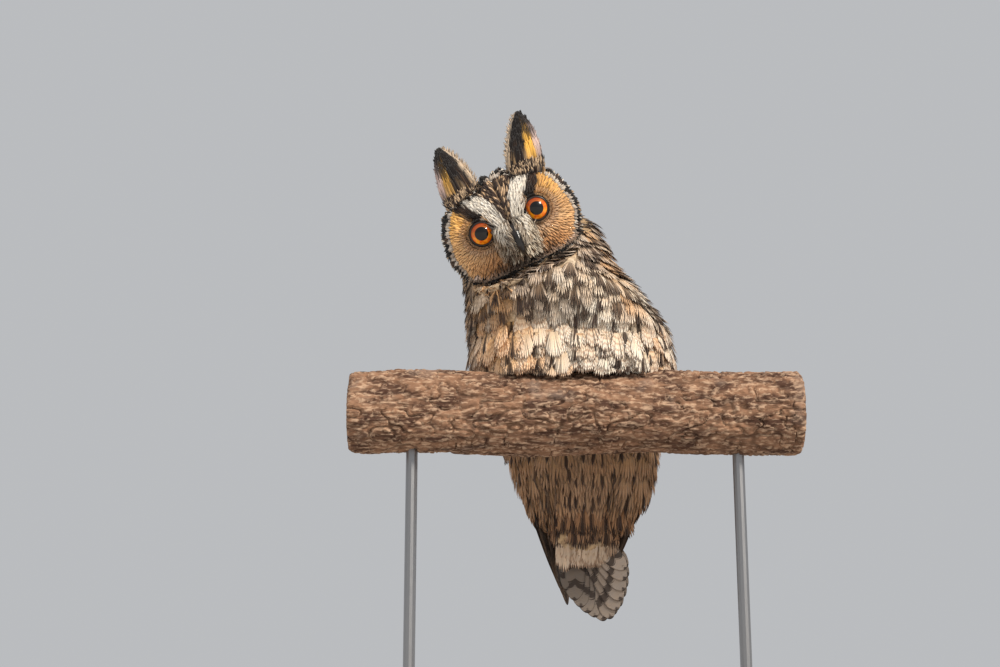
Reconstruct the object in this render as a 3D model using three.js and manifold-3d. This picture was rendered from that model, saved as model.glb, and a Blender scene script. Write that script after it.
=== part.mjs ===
// A long-eared owl, life size, perched on a cut length of branch that two rods hold above a flat base.
// Millimetres, +Z up. The origin is the middle of the base's underside, and the bird faces -Y.
// Left and right are the bird's own, so its left side is at +X.
// The solids are the outer shape of the plumage, out to the tips of the feathers.
import * as THREE from 'three';
import { mergeVertices } from 'three/addons/utils/BufferGeometryUtils.js';
import Module from 'manifold-3d';

const wasm = await Module();
wasm.setup();

// Driving sizes
const PERCH_HEIGHT = 240;
const PERCH_RADIUS = 28.5;
const PERCH_LENGTH = 310;
const PERCH_MIDDLE_X = -8;
const PERCH_WAVER = 0.7;
const BASE_SIZE = { wide: 250, deep: 196, high: 18, corner: 14, bevel: 2 };
const ROD_RADIUS = 4;
const ROD_OFFSET = 112;
const ROD_IN_WOOD = 16;
const GAP = 0.35;
const WING_DEPTH = 8;
const WING_PROUD = 1.2;
const MANTLE_HALF = { low: 4, high: 27 };
const HEAD_AT = [-53.2, -22, PERCH_HEIGHT + 132.3];
const HEAD_ROLL = THREE.MathUtils.degToRad(-25);
const HEAD_PITCH = THREE.MathUtils.degToRad(17);
const EYE_SPREAD = 20.7;
const EYE_RADIUS = 9.6;
const EYE_SETBACK = 5.6;
const EAR_TUFT = { 1: { x: 27.5, lean: 0.29 }, [-1]: { x: 22.5, lean: 0.03 } };
const FOOT_SPREAD = 26;
const FOOT_MIDDLE_X = -6;
const FOOT_TURN = THREE.MathUtils.degToRad(24);
const TOE_RADIUS = 4.6;
const CLAW_RADIUS = 1.9;

// The body by height above the perch's axis: [height, middle x, middle y, half width, half depth]
const BODY = [
  [-88, 0, 80, 0, 0],         // tips of the under tail coverts
  [-80, 0, 80, 22, 8],
  [-70, 1, 79, 36, 13.5],
  [-50, 3.5, 75, 50, 22],
  [-19, 0, 69, 58.5, 31],     // vent, behind the branch
  [0, -2, 64, 64, 36],
  [20, -5, 47, 71, 52],
  [37, -6.5, 37, 75.5, 57],   // belly, on the branch
  [52, -7.4, 31, 77, 60],
  [66, -11.4, 25.5, 74.5, 61.5],
  [86, -19.7, 18.5, 66.5, 59.5],
  [106, -31, 15, 60, 50],     // throat and nape
  [125, -35, 18, 57, 40],
  [140, -36.5, 20, 54, 33],
  [151, -40, 22, 46, 26],
  [160, -45, 23, 33, 17],
  [166, -48, 23, 0, 0],
];
const BODY_SQUARENESS = 2.25;
// A folded wing seen from the side, as [y, height above the perch's axis]
const WING_OUTLINE = [
  [4, 104], [-9, 92], [-4, 74], [10, 50], [27, 24], [44, -8], [60, -42], [74, -80],
  [100, -84], [112, -30], [112, 20], [100, 64], [70, 104], [30, 116],
];

// A smooth function through rows that start with their position, for the other numbers of each row.
function smoothTable(rows) {
  const width = rows[0].length - 1;
  const positions = rows.map((row) => row[0]);
  const values = rows.flatMap((row) => row.slice(1));
  const curve = new THREE.CubicInterpolant(positions, values, width, new Float64Array(width));
  return (at) => Array.from(curve.evaluate(THREE.MathUtils.clamp(at, positions[0], positions.at(-1))));
}

// cos and sin of an angle, moved out from a circle towards a square as squareness rises above 2.
function squared(angle, squareness) {
  const bend = (v) => Math.sign(v) * Math.abs(v) ** (2 / squareness);
  return [bend(Math.cos(angle)), bend(Math.sin(angle))];
}

function bell(offset, width) {
  return Math.exp(-((offset / width) ** 2));
}

// A closed surface: place(turn, t) gives the point at an angle round it and at t from 0 to 1, pole to pole.
function shaped(around, rings, place) {
  const geometry = new THREE.SphereGeometry(1, around, rings);
  const position = geometry.attributes.position;
  const columns = around + 1;
  for (let i = 0; i < position.count; i += 1) {
    const turn = ((i % columns) % around) * (2 * Math.PI / around);
    const t = Math.floor(i / columns) / rings;
    position.setXYZ(i, ...place(turn, t));
  }
  return solidOf(geometry);
}

function solidOf(geometry) {
  const bare = geometry.index ? geometry.clone() : geometry;
  bare.deleteAttribute('normal');
  bare.deleteAttribute('uv');
  const merged = mergeVertices(bare, 1e-4);
  const triVerts = [];
  for (let i = 0; i < merged.index.count; i += 3) {
    const corners = [0, 1, 2].map((k) => merged.index.getX(i + k));
    if (new Set(corners).size === 3) triVerts.push(...corners);
  }
  const vertProperties = new Float32Array(merged.attributes.position.array);
  const mesh = new wasm.Mesh({ numProp: 3, vertProperties, triVerts: new Uint32Array(triVerts) });
  const solid = new wasm.Manifold(mesh);
  return solid.volume() < 0 ? turnedOut(vertProperties, triVerts) : solid;
}

// The same solid with its faces the other way round.
function turnedOut(vertProperties, triVerts) {
  const flipped = new Uint32Array(triVerts.length);
  for (let i = 0; i < triVerts.length; i += 3) {
    flipped.set([triVerts[i], triVerts[i + 2], triVerts[i + 1]], i);
  }
  return new wasm.Manifold(new wasm.Mesh({ numProp: 3, vertProperties, triVerts: flipped }));
}

// A body swept along a smooth line. Rows are [x, y, z, half width, half thickness], and widthways is the
// direction of its width. Widths are smoothed as squares, so an end with no width is round.
function swept({ rows, widthways, around = 12, rings = 10, grow = 0, squareness = 2 }) {
  const line = new THREE.CatmullRomCurve3(rows.map((row) => new THREE.Vector3(...row.slice(0, 3))));
  const sizes = smoothTable(rows.map((row, i) => [i / (rows.length - 1), row[3] ** 2, row[4] ** 2]));
  return shaped(around, rings, (turn, t) => {
    const share = (1 - Math.cos(Math.PI * t)) / 2;
    const middle = line.getPoint(share);
    const along = line.getTangent(share);
    const side = widthways.clone().addScaledVector(along, -widthways.dot(along)).normalize();
    const face = new THREE.Vector3().crossVectors(along, side);
    const [wide, deep] = sizes(share).map((v) => Math.sqrt(Math.max(v, 0)) + grow);
    const [c, s] = squared(turn, squareness);
    const closed = t === 0 || t === 1 ? 0 : 1;
    middle.addScaledVector(along, grow * Math.sign(t - 0.5) * (1 - closed));
    middle.addScaledVector(side, wide * c * closed).addScaledVector(face, deep * s * closed);
    return middle.toArray();
  });
}

function largest(solid) {
  return solid.decompose().sort((a, b) => b.volume() - a.volume())[0];
}

// The plumage of neck, trunk and folded wings as one body.
const bodyAt = smoothTable(BODY.map(([h, x, y, wide, deep]) => [h, x, y, wide ** 2, deep ** 2]));

function body(grow = 0) {
  const [low, high] = [BODY[0][0], BODY.at(-1)[0]];
  return shaped(24, 16, (turn, t) => {
    const share = (1 - Math.cos(Math.PI * t)) / 2;
    const height = THREE.MathUtils.lerp(low - grow, high + grow, share);
    const [x, y, wideSquared, deepSquared] = bodyAt(height);
    const inside = t === 0 || t === 1 ? 0 : 1;
    const wide = Math.max(Math.sqrt(Math.max(wideSquared, 0)) + grow, 0.5) * inside;
    const deep = Math.max(Math.sqrt(Math.max(deepSquared, 0)) + grow, 0.5) * inside;
    const [c, s] = squared(turn, BODY_SQUARENESS);
    return [x + wide * c, y + deep * s, PERCH_HEIGHT + height];
  });
}

// The space of one folded wing: its side outline drawn out from beside the mantle. Side is 1 for the left.
function wingSpace(side, grow = 0) {
  const reach = 130;
  const middle = new THREE.Vector2(45, 10);
  const outline = WING_OUTLINE.map(([y, h]) => {
    const corner = new THREE.Vector2(y, h);
    return corner.addScaledVector(corner.clone().sub(middle).normalize(), grow);
  });
  const shape = new THREE.Shape(new THREE.SplineCurve([...outline, outline[0]]).getPoints(18).slice(0, -1));
  const geometry = new THREE.ExtrudeGeometry(shape, { depth: reach, bevelEnabled: false });
  const position = geometry.attributes.position;
  for (let i = 0; i < position.count; i += 1) {
    const [y, height, out] = [position.getX(i), position.getY(i), position.getZ(i)];
    const middleX = bodyAt(height)[0];
    const share = THREE.MathUtils.smoothstep(height, -84, 100);
    const mantle = THREE.MathUtils.lerp(MANTLE_HALF.low, MANTLE_HALF.high, share);
    position.setXYZ(i, middleX + side * (mantle - grow + out), y, PERCH_HEIGHT + height);
  }
  return solidOf(geometry);
}

// The folded quills of the hand, which run down behind the tail. Side is 1 for the left.
function handQuills(side, grow = 0) {
  const rows = [
    [50, 84, 6, 9, 5],
    [44, 92, -22, 14, 5.2],
    [30, 99, -55, 14.5, 4.6],
    [10, 101, -90, 9.5, 3.2],
    [7.4, 102, -112, 6.5, 2.2],
    [6, 102.5, -124, 0, 0],
  ].map(([x, y, h, wide, deep]) => [side * x, y, PERCH_HEIGHT + h, wide, deep]);
  return swept({ rows, widthways: new THREE.Vector3(side, -0.42, 0), around: 10, rings: 11, grow });
}

function tail(grow = 0) {
  const rows = [
    [0, 80, -52, 17, 6],
    [1, 83, -70, 20, 5.5],
    [5, 87, -90, 24, 4.6],
    [8, 89, -106, 25, 3.6],
    [12, 90.5, -121, 19, 2.8],
    [21, 91.5, -135.7, 0, 0],
  ].map(([x, y, h, wide, deep]) => [x, y, PERCH_HEIGHT + h, wide, deep]);
  const widthways = new THREE.Vector3(1, 0.04, 0);
  return swept({ rows, widthways, around: 16, rings: 12, grow, squareness: 2.6 });
}

// The head's own frame: the origin is between the eyes, -Y is where the face looks and +Z is the crown.
const headTurn = new THREE.Matrix4()
  .makeRotationFromEuler(new THREE.Euler(HEAD_PITCH, HEAD_ROLL, 0, 'XYZ'))
  .setPosition(...HEAD_AT);

function onHead(solid) {
  return solid.transform(headTurn.toArray());
}

// The distance from between the eyes to the ruff, in the direction turn, which is 90 degrees at the crown.
function ruffRadius(turn) {
  const [c, s] = [Math.cos(turn), Math.sin(turn)];
  const squareness = 2.4;
  const across = Math.abs(c / 48.5) ** squareness;
  const upright = Math.abs(s / (s > 0 ? 37.5 : 34.5)) ** squareness;
  const cheekAngle = THREE.MathUtils.degToRad(-29);
  const fromCheek = Math.atan2(s, Math.abs(c)) - cheekAngle;
  return (across + upright) ** (-1 / squareness) + 7.5 * bell(fromCheek, 0.42);
}

// How far the face stands forward of the plane of the eyes, at x and z from the middle of the face.
function browRise(x, z) {
  const along = THREE.MathUtils.clamp((z + 10) / 34, 0, 1);
  const browX = 3 + 13 * along;
  const brow = 4.2 * bell(Math.abs(x) - browX, 6) * bell(along - 0.45, 0.6);
  const bridge = 4 * bell(x, 8) * bell(z + 9, 12);
  return brow + bridge;
}

function head(grow = 0) {
  const faceShare = 0.44;
  const [faceY, ruffY, napeY, chinForward, dishDepth] = [-8, 9, 64, 5, 4.6];
  return shaped(26, 13, (turn, t) => {
    const radius = ruffRadius(turn) + grow;
    const [c, s] = [Math.cos(turn), Math.sin(turn)];
    const rimY = ruffY - chinForward * bell(s + 1, 0.7);
    if (t < faceShare) {
      const q = t / faceShare;
      const [x, z] = [radius * q * c, radius * q * s];
      const dish = THREE.MathUtils.lerp(faceY, rimY, q ** 1.7) + dishDepth * Math.sin(Math.PI * q);
      return [x, dish - browRise(x, z) - grow, z];
    }
    const a = ((t - faceShare) / (1 - faceShare)) * Math.PI / 2;
    const shrink = t === 1 ? 0 : Math.cos(a) ** 0.72;
    return [radius * shrink * c, rimY + (napeY + grow - rimY) * Math.sin(a), radius * shrink * s];
  });
}

// The space in front of the face, which the plumage of the neck leaves free.
function faceSpace() {
  const turns = Array.from({ length: 26 }, (_, i) => (i / 26) * 2 * Math.PI);
  const outline = turns.map((turn) => {
    const radius = ruffRadius(turn);
    return new THREE.Vector2(radius * Math.cos(turn), radius * Math.sin(turn));
  });
  const geometry = new THREE.ExtrudeGeometry(new THREE.Shape(outline), { depth: 80, bevelEnabled: false });
  geometry.rotateX(Math.PI / 2);
  geometry.translate(0, 4, 0);
  return solidOf(geometry);
}

// Side is 1 for the left tuft. Rows are [y, z, half width, half thickness].
function earTuft(side, grow = 0) {
  const { x: rootX, lean } = EAR_TUFT[side];
  const rootZ = 33;
  const rows = [
    [17, 24, 16, 7],
    [16, rootZ, 17, 7],
    [15, 43, 15.4, 6],
    [14.5, 54, 11.6, 4.6],
    [14, 62.5, 6.5, 3],
    [14, 67.5, 0, 0],
  ].map(([y, z, ...size]) => [side * (rootX + lean * (z - rootZ)), y, z, ...size]);
  return swept({ rows, widthways: new THREE.Vector3(side * 1, 0.2, 0.05), around: 12, rings: 9, grow });
}

function eye(side, grow = 0) {
  const ball = new THREE.SphereGeometry(EYE_RADIUS + grow, 12, 8);
  ball.translate(side * EYE_SPREAD, EYE_SETBACK, 0);
  return solidOf(ball);
}

function bill(grow = 0) {
  const rows = [
    [0, -4, -5, 4.4, 4.6],
    [0, -14, -7.5, 4.6, 4.6],
    [0, -18.6, -13, 4, 4.2],
    [0, -19.4, -19, 2.7, 2.8],
    [0, -17.4, -25, 0, 0],
  ];
  return swept({ rows, widthways: new THREE.Vector3(1, 0, 0), around: 10, rings: 9, grow });
}

// The branch, with its surface a little uneven.
function perch(grow = 0) {
  const rings = 11;
  return shaped(16, rings, (turn, t) => {
    const step = THREE.MathUtils.clamp((t * rings - 1) / (rings - 2), 0, 1);
    const x = PERCH_MIDDLE_X + (step - 0.5) * PERCH_LENGTH;
    const uneven = PERCH_WAVER * (Math.sin(3 * turn + x / 31) + Math.sin(x / 23 - turn));
    const radius = t === 0 || t === 1 ? 0 : PERCH_RADIUS + uneven + grow;
    return [x, radius * Math.sin(turn), PERCH_HEIGHT + radius * Math.cos(turn)];
  });
}

// A point beside the perch: at x, at an angle from its top towards the bird's back, and out from its axis.
function overPerch(x, angle, out) {
  return [x, out * Math.sin(angle), PERCH_HEIGHT + out * Math.cos(angle)];
}

// Toes: [sideways turn in degrees, reach round the perch in degrees, backward ones below zero]
const TOES = [[-17, 46], [5, 50], [38, 34], [-150, -38]];

function toeRows(side, [spreadDegrees, reachDegrees], from, to, radii, leastLift) {
  const footX = FOOT_MIDDLE_X + side * FOOT_SPREAD;
  const lift = PERCH_RADIUS + 2 * PERCH_WAVER + GAP;
  const sideways = Math.tan(THREE.MathUtils.degToRad(Math.sign(reachDegrees) * spreadDegrees));
  return radii.map((radius, i) => {
    const share = THREE.MathUtils.lerp(from, to, i / (radii.length - 1));
    const angle = -THREE.MathUtils.degToRad(reachDegrees) * share;
    const x = footX + side * sideways * Math.abs(angle) * lift;
    return [...overPerch(x, FOOT_TURN + angle, lift + Math.max(radius, leastLift)), radius, radius];
  });
}

function foot(side, grow = 0) {
  const widthways = new THREE.Vector3(1, 0, 0);
  const radii = [1.04, 1.08, 1.02, 0.91, 0.76, 0].map((share) => share * TOE_RADIUS);
  const toes = TOES.map((toe) => swept({
    rows: toeRows(side, toe, 0, 1, radii, 0.6 * TOE_RADIUS),
    widthways, around: 6, rings: 6, grow,
  }));
  return wasm.Manifold.union(toes);
}

function claw(side, index, grow = 0) {
  const radii = [1, 0.95, 0.8, 0.5, 0].map((share) => share * CLAW_RADIUS);
  const rows = toeRows(side, TOES[index], 0.86, 1.26, radii, 0.4 * CLAW_RADIUS);
  rows.forEach((row, i) => {
    const lift = 1.8 * Math.sin(Math.PI * i / (rows.length - 1));
    const axisward = new THREE.Vector2(row[1], row[2] - PERCH_HEIGHT).normalize();
    row[1] += axisward.x * lift;
    row[2] += axisward.y * lift;
  });
  return swept({ rows, widthways: new THREE.Vector3(1, 0, 0), around: 5, rings: 6, grow });
}

// The feathered leg from inside the belly to the foot.
function leg(side, grow = 0) {
  const footX = FOOT_MIDDLE_X + side * FOOT_SPREAD;
  const lift = PERCH_RADIUS + 2 * PERCH_WAVER + GAP;
  const [, y, z] = overPerch(footX, FOOT_TURN, lift + 5);
  const rows = [
    [footX, y, z, 6.5, 6.5],
    [footX, y + 2, z + 12, 8.5, 8.5],
    [footX, y + 6, z + 26, 11, 12],
    [footX + side * 2, y + 10, z + 38, 0, 0],
  ];
  return swept({ rows, widthways: new THREE.Vector3(1, 0, 0), around: 8, rings: 6, grow });
}

// The room in the belly that a foot and leg stand in.
function footRoom(side) {
  const footX = FOOT_MIDDLE_X + side * FOOT_SPREAD;
  const sections = [
    [-62, 4, 0, 0],
    [-40, 4, 17, 7.5],
    [-10, 0, 16, 9],
    [20, -6, 13, 7.5],
    [50, -12, 9, 7],
    [72, -13, 0, 0],
  ];
  const rows = sections.map(([degrees, out, wide, high]) => {
    const angle = FOOT_TURN + THREE.MathUtils.degToRad(degrees);
    return [...overPerch(footX + side * out, angle, PERCH_RADIUS + 5), wide, high];
  });
  return swept({ rows, widthways: new THREE.Vector3(1, 0, 0), around: 10, rings: 7 });
}

// A rod from the base up into a drilled hole in the branch.
function rod(x, grow = 0) {
  const low = BASE_SIZE.high + GAP - grow;
  const high = PERCH_HEIGHT - PERCH_RADIUS + ROD_IN_WOOD + grow;
  const geometry = new THREE.CylinderGeometry(ROD_RADIUS + grow, ROD_RADIUS + grow, high - low, 12);
  geometry.rotateX(Math.PI / 2);
  geometry.translate(x, 0, (low + high) / 2);
  return solidOf(geometry);
}

function base() {
  const { wide, deep, high, corner, bevel } = BASE_SIZE;
  const [w, d] = [wide / 2 - bevel, deep / 2 - bevel];
  const shape = new THREE.Shape();
  shape.moveTo(-w + corner, -d);
  shape.lineTo(w - corner, -d);
  shape.absarc(w - corner, -d + corner, corner, -Math.PI / 2, 0);
  shape.absarc(w - corner, d - corner, corner, 0, Math.PI / 2);
  shape.absarc(-w + corner, d - corner, corner, Math.PI / 2, Math.PI);
  shape.absarc(-w + corner, -d + corner, corner, Math.PI, 1.5 * Math.PI);
  const geometry = new THREE.ExtrudeGeometry(shape, {
    depth: high - 2 * bevel, bevelSize: bevel, bevelThickness: bevel, bevelSegments: 1, curveSegments: 3,
  });
  geometry.translate(0, 0, bevel);
  return solidOf(geometry);
}

// A slab that parts the neck from the trunk, square to the leaning neck.
function neckCut(above) {
  const slab = new THREE.BoxGeometry(400, 400, 300);
  slab.translate(0, 0, above ? 150 + GAP / 2 : -150 - GAP / 2);
  slab.rotateX(THREE.MathUtils.degToRad(-8));
  slab.rotateY(THREE.MathUtils.degToRad(-20));
  slab.translate(-28, 15, PERCH_HEIGHT + 98);
  return solidOf(slab);
}

const colours = {
  breast: 0xd8c8a8,
  back: 0x8a7658,
  wing: 0x7d6a50,
  face: 0xc08a4c,
  tuft: 0x3a2c20,
  tail: 0x8f8474,
  foot: 0xd9b98a,
  bill: 0x1e1b1a,
  claw: 0x1a1715,
  eye: 0xe0761a,
  bark: 0x6d5546,
  steel: 0x8b8d90,
  wood: 0x5a4636,
};
const group = new THREE.Group();

function addNode(name, solid, colour, roughness = 0.9, metalness = 0) {
  const { numProp, vertProperties, triVerts } = largest(solid).getMesh();
  const geometry = new THREE.BufferGeometry();
  const points = new Float32Array((vertProperties.length / numProp) * 3);
  for (let i = 0; i < points.length / 3; i += 1) {
    points.set(vertProperties.slice(i * numProp, i * numProp + 3), i * 3);
  }
  geometry.setAttribute('position', new THREE.BufferAttribute(points, 3));
  geometry.setIndex(Array.from(triVerts));
  geometry.computeVertexNormals();
  const material = new THREE.MeshStandardMaterial({ color: colour, roughness, metalness });
  const mesh = new THREE.Mesh(geometry, material);
  mesh.name = name;
  group.add(mesh);
}

const SIDES = [['left', 1], ['right', -1]];

// Head
const headSolid = onHead(head());
const headSpace = onHead(head(GAP).add(faceSpace()));
const tuftSpaces = SIDES.map(([, side]) => onHead(earTuft(side, GAP)));
const eyeSpaces = SIDES.map(([, side]) => onHead(eye(side, GAP)));
const billSpace = onHead(bill(GAP));
const headSpaces = wasm.Manifold.union([...tuftSpaces, ...eyeSpaces, billSpace]);
addNode('head', headSolid.subtract(headSpaces), colours.face);
addNode('bill', onHead(bill()), colours.bill, 0.35);
SIDES.forEach(([name, side]) => {
  addNode(`eye_${name}`, onHead(eye(side)), colours.eye, 0.1);
  addNode(`ear_tuft_${name}`, onHead(earTuft(side)), colours.tuft);
});

// Perch, legs, feet and claws
const perchSpace = perch(GAP);
const footParts = [];
SIDES.forEach(([name, side]) => {
  const claws = TOES.map((toe, index) => claw(side, index).subtract(perchSpace));
  const clawSpace = wasm.Manifold.union(TOES.map((toe, index) => claw(side, index, GAP)));
  const footSolid = foot(side).subtract(perchSpace).subtract(clawSpace);
  const footSpace = foot(side, GAP).add(clawSpace);
  claws.forEach((solid, index) => addNode(`claw_${name}_${index + 1}`, solid, colours.claw, 0.3));
  addNode(`foot_${name}`, footSolid, colours.foot);
  addNode(`leg_${name}`, leg(side).subtract(footSpace).subtract(perchSpace), colours.foot);
  footParts.push(footRoom(side), leg(side, GAP));
});

// Tail and wings
const tailSpace = tail(GAP);
addNode('tail', tail(), colours.tail);
const trunkCore = body(-WING_DEPTH);
const wingsSpace = [];
const quillSpaces = [];
SIDES.forEach(([name, side]) => {
  const quills = handQuills(side).subtract(tailSpace);
  const shell = wingSpace(side).intersect(body(WING_PROUD)).subtract(trunkCore);
  addNode(`wing_${name}_quills`, quills, colours.wing);
  const around = wasm.Manifold.union([handQuills(side, GAP), tailSpace, headSpace]);
  addNode(`wing_${name}`, shell.subtract(around), colours.wing);
  wingsSpace.push(wingSpace(side, GAP).subtract(body(-WING_DEPTH - GAP)));
  quillSpaces.push(handQuills(side, GAP));
});

// Trunk and neck
const kept = body().subtract(wasm.Manifold.union([
  ...wingsSpace, ...quillSpaces, ...footParts, ...tuftSpaces, tailSpace, headSpace, billSpace, perchSpace,
]));
addNode('trunk', kept.intersect(neckCut(false)), colours.breast);
addNode('neck', kept.intersect(neckCut(true)), colours.back);

// Stand
const rods = [['left', PERCH_MIDDLE_X + ROD_OFFSET], ['right', PERCH_MIDDLE_X - ROD_OFFSET]];
addNode('perch', perch().subtract(wasm.Manifold.union(rods.map(([, x]) => rod(x, GAP)))), colours.bark);
rods.forEach(([name, x]) => addNode(`stand_rod_${name}`, rod(x), colours.steel, 0.35, 1));
addNode('stand_base', base(), colours.wood, 0.5);

export default group;
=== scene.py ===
"""The looks of a life-size long-eared owl on a cut branch and a plain display stand.

Lengths in this script are millimetres until a mesh is made, which is in metres like the frame.
Left and right are the bird's own, so its left side is at +X.
"""
import math

import bmesh
import bpy
import numpy as np
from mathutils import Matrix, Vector
from mathutils.bvhtree import BVHTree


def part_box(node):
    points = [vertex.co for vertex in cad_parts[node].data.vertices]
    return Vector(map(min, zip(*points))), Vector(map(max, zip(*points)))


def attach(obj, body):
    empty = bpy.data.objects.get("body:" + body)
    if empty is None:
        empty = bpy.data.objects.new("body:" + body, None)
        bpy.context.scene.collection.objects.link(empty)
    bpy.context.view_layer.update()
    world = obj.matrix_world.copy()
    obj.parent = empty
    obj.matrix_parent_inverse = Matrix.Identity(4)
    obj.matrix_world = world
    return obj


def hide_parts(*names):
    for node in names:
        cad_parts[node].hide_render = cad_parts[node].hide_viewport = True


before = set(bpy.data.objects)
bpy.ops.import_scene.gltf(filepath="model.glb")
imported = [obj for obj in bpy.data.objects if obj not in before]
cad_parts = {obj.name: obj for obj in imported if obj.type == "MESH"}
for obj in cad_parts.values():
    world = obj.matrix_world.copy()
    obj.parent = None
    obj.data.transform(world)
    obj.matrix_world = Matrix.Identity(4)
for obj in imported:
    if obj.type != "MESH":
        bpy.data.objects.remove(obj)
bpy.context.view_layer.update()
rng = np.random.default_rng(11)

MM = 0.001
SIDES = (("left", 1), ("right", -1))


# Places taken from the frame
def node_box(name):
    low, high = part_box(name)
    return np.array(low) / MM, np.array(high) / MM


perch_low, perch_high = node_box("perch")
PERCH_Z = (perch_low[2] + perch_high[2]) / 2
PERCH_RADIUS = 28.5
PERCH_CLEAR = PERCH_RADIUS + 1.6
HEAD_ROLL = math.radians(-25)
HEAD_PITCH = math.radians(17)
EYE_SPREAD = 20.7
EYE_SETBACK = 5.6
EYE_RADIUS = 9.6
BODY_LINE = np.array([   # height above the perch's axis, and the body's middle in x and y
    (-88, 0, 80), (-50, 3.5, 75), (-19, 0, 69), (0, -2, 64), (20, -5, 47), (37, -6.5, 37),
    (52, -7.4, 31), (66, -11.4, 25.5), (86, -19.7, 18.5), (106, -31, 15), (125, -35, 18), (140, -36.5, 20),
])


# Small maths helpers
def unit(v):
    return v / np.maximum(np.linalg.norm(v, axis=-1, keepdims=True), 1e-9)


def smoothstep(low, high, x):
    t = np.clip((np.asarray(x, float) - low) / (high - low), 0, 1)
    return t * t * (3 - 2 * t)


def blend(a, b, t):
    t = np.asarray(t, float)[..., None]
    return a * (1 - t) + b * t


def bell(offset, width):
    return np.exp(-((np.asarray(offset, float) / width) ** 2))


def colour(red, green, blue):
    """A colour as seen on a screen, from 0 to 255, as the linear one that shaders use."""
    c = np.array([red, green, blue], float) / 255
    return np.where(c <= 0.04045, c / 12.92, ((c + 0.055) / 1.055) ** 2.4)


def hashed(cells, seed):
    x, y, z = (cells[..., i].astype(np.int64) for i in range(3))
    h = (x * 374761393 + y * 668265263 + z * 1440662683 + seed * 974634777) & 0xFFFFFFFF
    h = ((h ^ (h >> 13)) * 1274126177) & 0xFFFFFFFF
    return ((h ^ (h >> 16)) & 0xFFFFFF) / 0xFFFFFF


def noise(points, size, seed=0):
    """Smooth noise from 0 to 1 with lumps of about that size."""
    p = np.asarray(points, float) / size
    cell = np.floor(p)
    f = p - cell
    f = f * f * (3 - 2 * f)
    total = 0
    for corner in np.ndindex(2, 2, 2):
        weight = np.prod(np.where(np.array(corner), f, 1 - f), axis=-1)
        total = total + weight * hashed(cell + np.array(corner), seed)
    return total


def xyz(x, y, z):
    """Points or directions from their parts, any of which may be one number for all."""
    return np.stack(np.broadcast_arrays(x, y, z), axis=-1)


def between(values, at):
    """Values between steps (feathers, steps, 3), for each feather at its own places along them."""
    low = np.minimum(at.astype(int), values.shape[1] - 2)
    index = np.arange(len(values)).reshape((-1,) + (1,) * (at.ndim - 1))
    share = (at - low)[..., None]
    return values[index, low] * (1 - share) + values[index, low + 1] * share


def bow(start, middle, end):
    """Five nodes on each smooth curve from a start to an end that is drawn towards a middle."""
    t = np.linspace(0, 1, 5)[None, :, None]
    return (1 - t) ** 2 * start[:, None] + 2 * t * (1 - t) * middle[:, None] + t ** 2 * end[:, None]


def jitter(count, amount):
    return rng.uniform(-amount, amount, count)


def vary(count, amount):
    """Random factors close to 1."""
    return 1 + jitter(count, amount)


def two_tone(tips, root_share):
    """Colours at a feather's root, darker by that share, and at its tip."""
    return np.stack([tips * root_share, tips], axis=1)


# The plumage's main colours
WHITE = colour(236, 226, 212)
CREAM = colour(238, 220, 194)
BUFF = colour(216, 178, 132)
RUST = colour(158, 100, 58)
GREY = colour(160, 142, 128)
BROWN = colour(98, 72, 54)
DARK = colour(58, 42, 34)
BLACK = colour(26, 20, 19)


def rotation(pitch, roll):
    cp, sp, cr, sr = math.cos(pitch), math.sin(pitch), math.cos(roll), math.sin(roll)
    about_x = np.array([[1, 0, 0], [0, cp, -sp], [0, sp, cp]])
    about_y = np.array([[cr, 0, sr], [0, 1, 0], [-sr, 0, cr]])
    return about_x @ about_y


HEAD_TURN = rotation(HEAD_PITCH, HEAD_ROLL)
eyes_middle = np.mean([np.mean(node_box(f"eye_{name}"), axis=0) for name, _ in SIDES], axis=0)
HEAD_AT = eyes_middle - HEAD_TURN @ np.array([0, EYE_SETBACK, 0])


def to_head(points):
    return (points - HEAD_AT) @ HEAD_TURN


def from_head(points):
    return points @ HEAD_TURN.T + HEAD_AT


def ruff_radius(turn):
    """The distance from between the eyes to the ruff, at an angle from the head's +X towards its crown."""
    c, s = np.cos(turn), np.sin(turn)
    squareness = 2.4
    upright = np.where(s > 0, 37.5, 34.5)
    oval = (np.abs(c / 48.5) ** squareness + np.abs(s / upright) ** squareness) ** (-1 / squareness)
    return oval + 7.5 * bell(np.arctan2(s, np.abs(c)) - math.radians(-29), 0.42)


def body_middle(height):
    x, y = (np.interp(height, BODY_LINE[:, 0], BODY_LINE[:, k]) for k in (1, 2))
    return xyz(x, y, PERCH_Z + height)


def body_place(points):
    """Height above the perch's axis, and the angle round the body from its front towards its left side."""
    height = points[..., 2] - PERCH_Z
    middle = body_middle(height)
    out = points - middle
    return height, np.arctan2(out[..., 0], -out[..., 1])


# Meshes from arrays
def new_object(name, mesh):
    obj = bpy.data.objects.new(name, mesh)
    bpy.context.scene.collection.objects.link(obj)
    return obj


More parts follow.
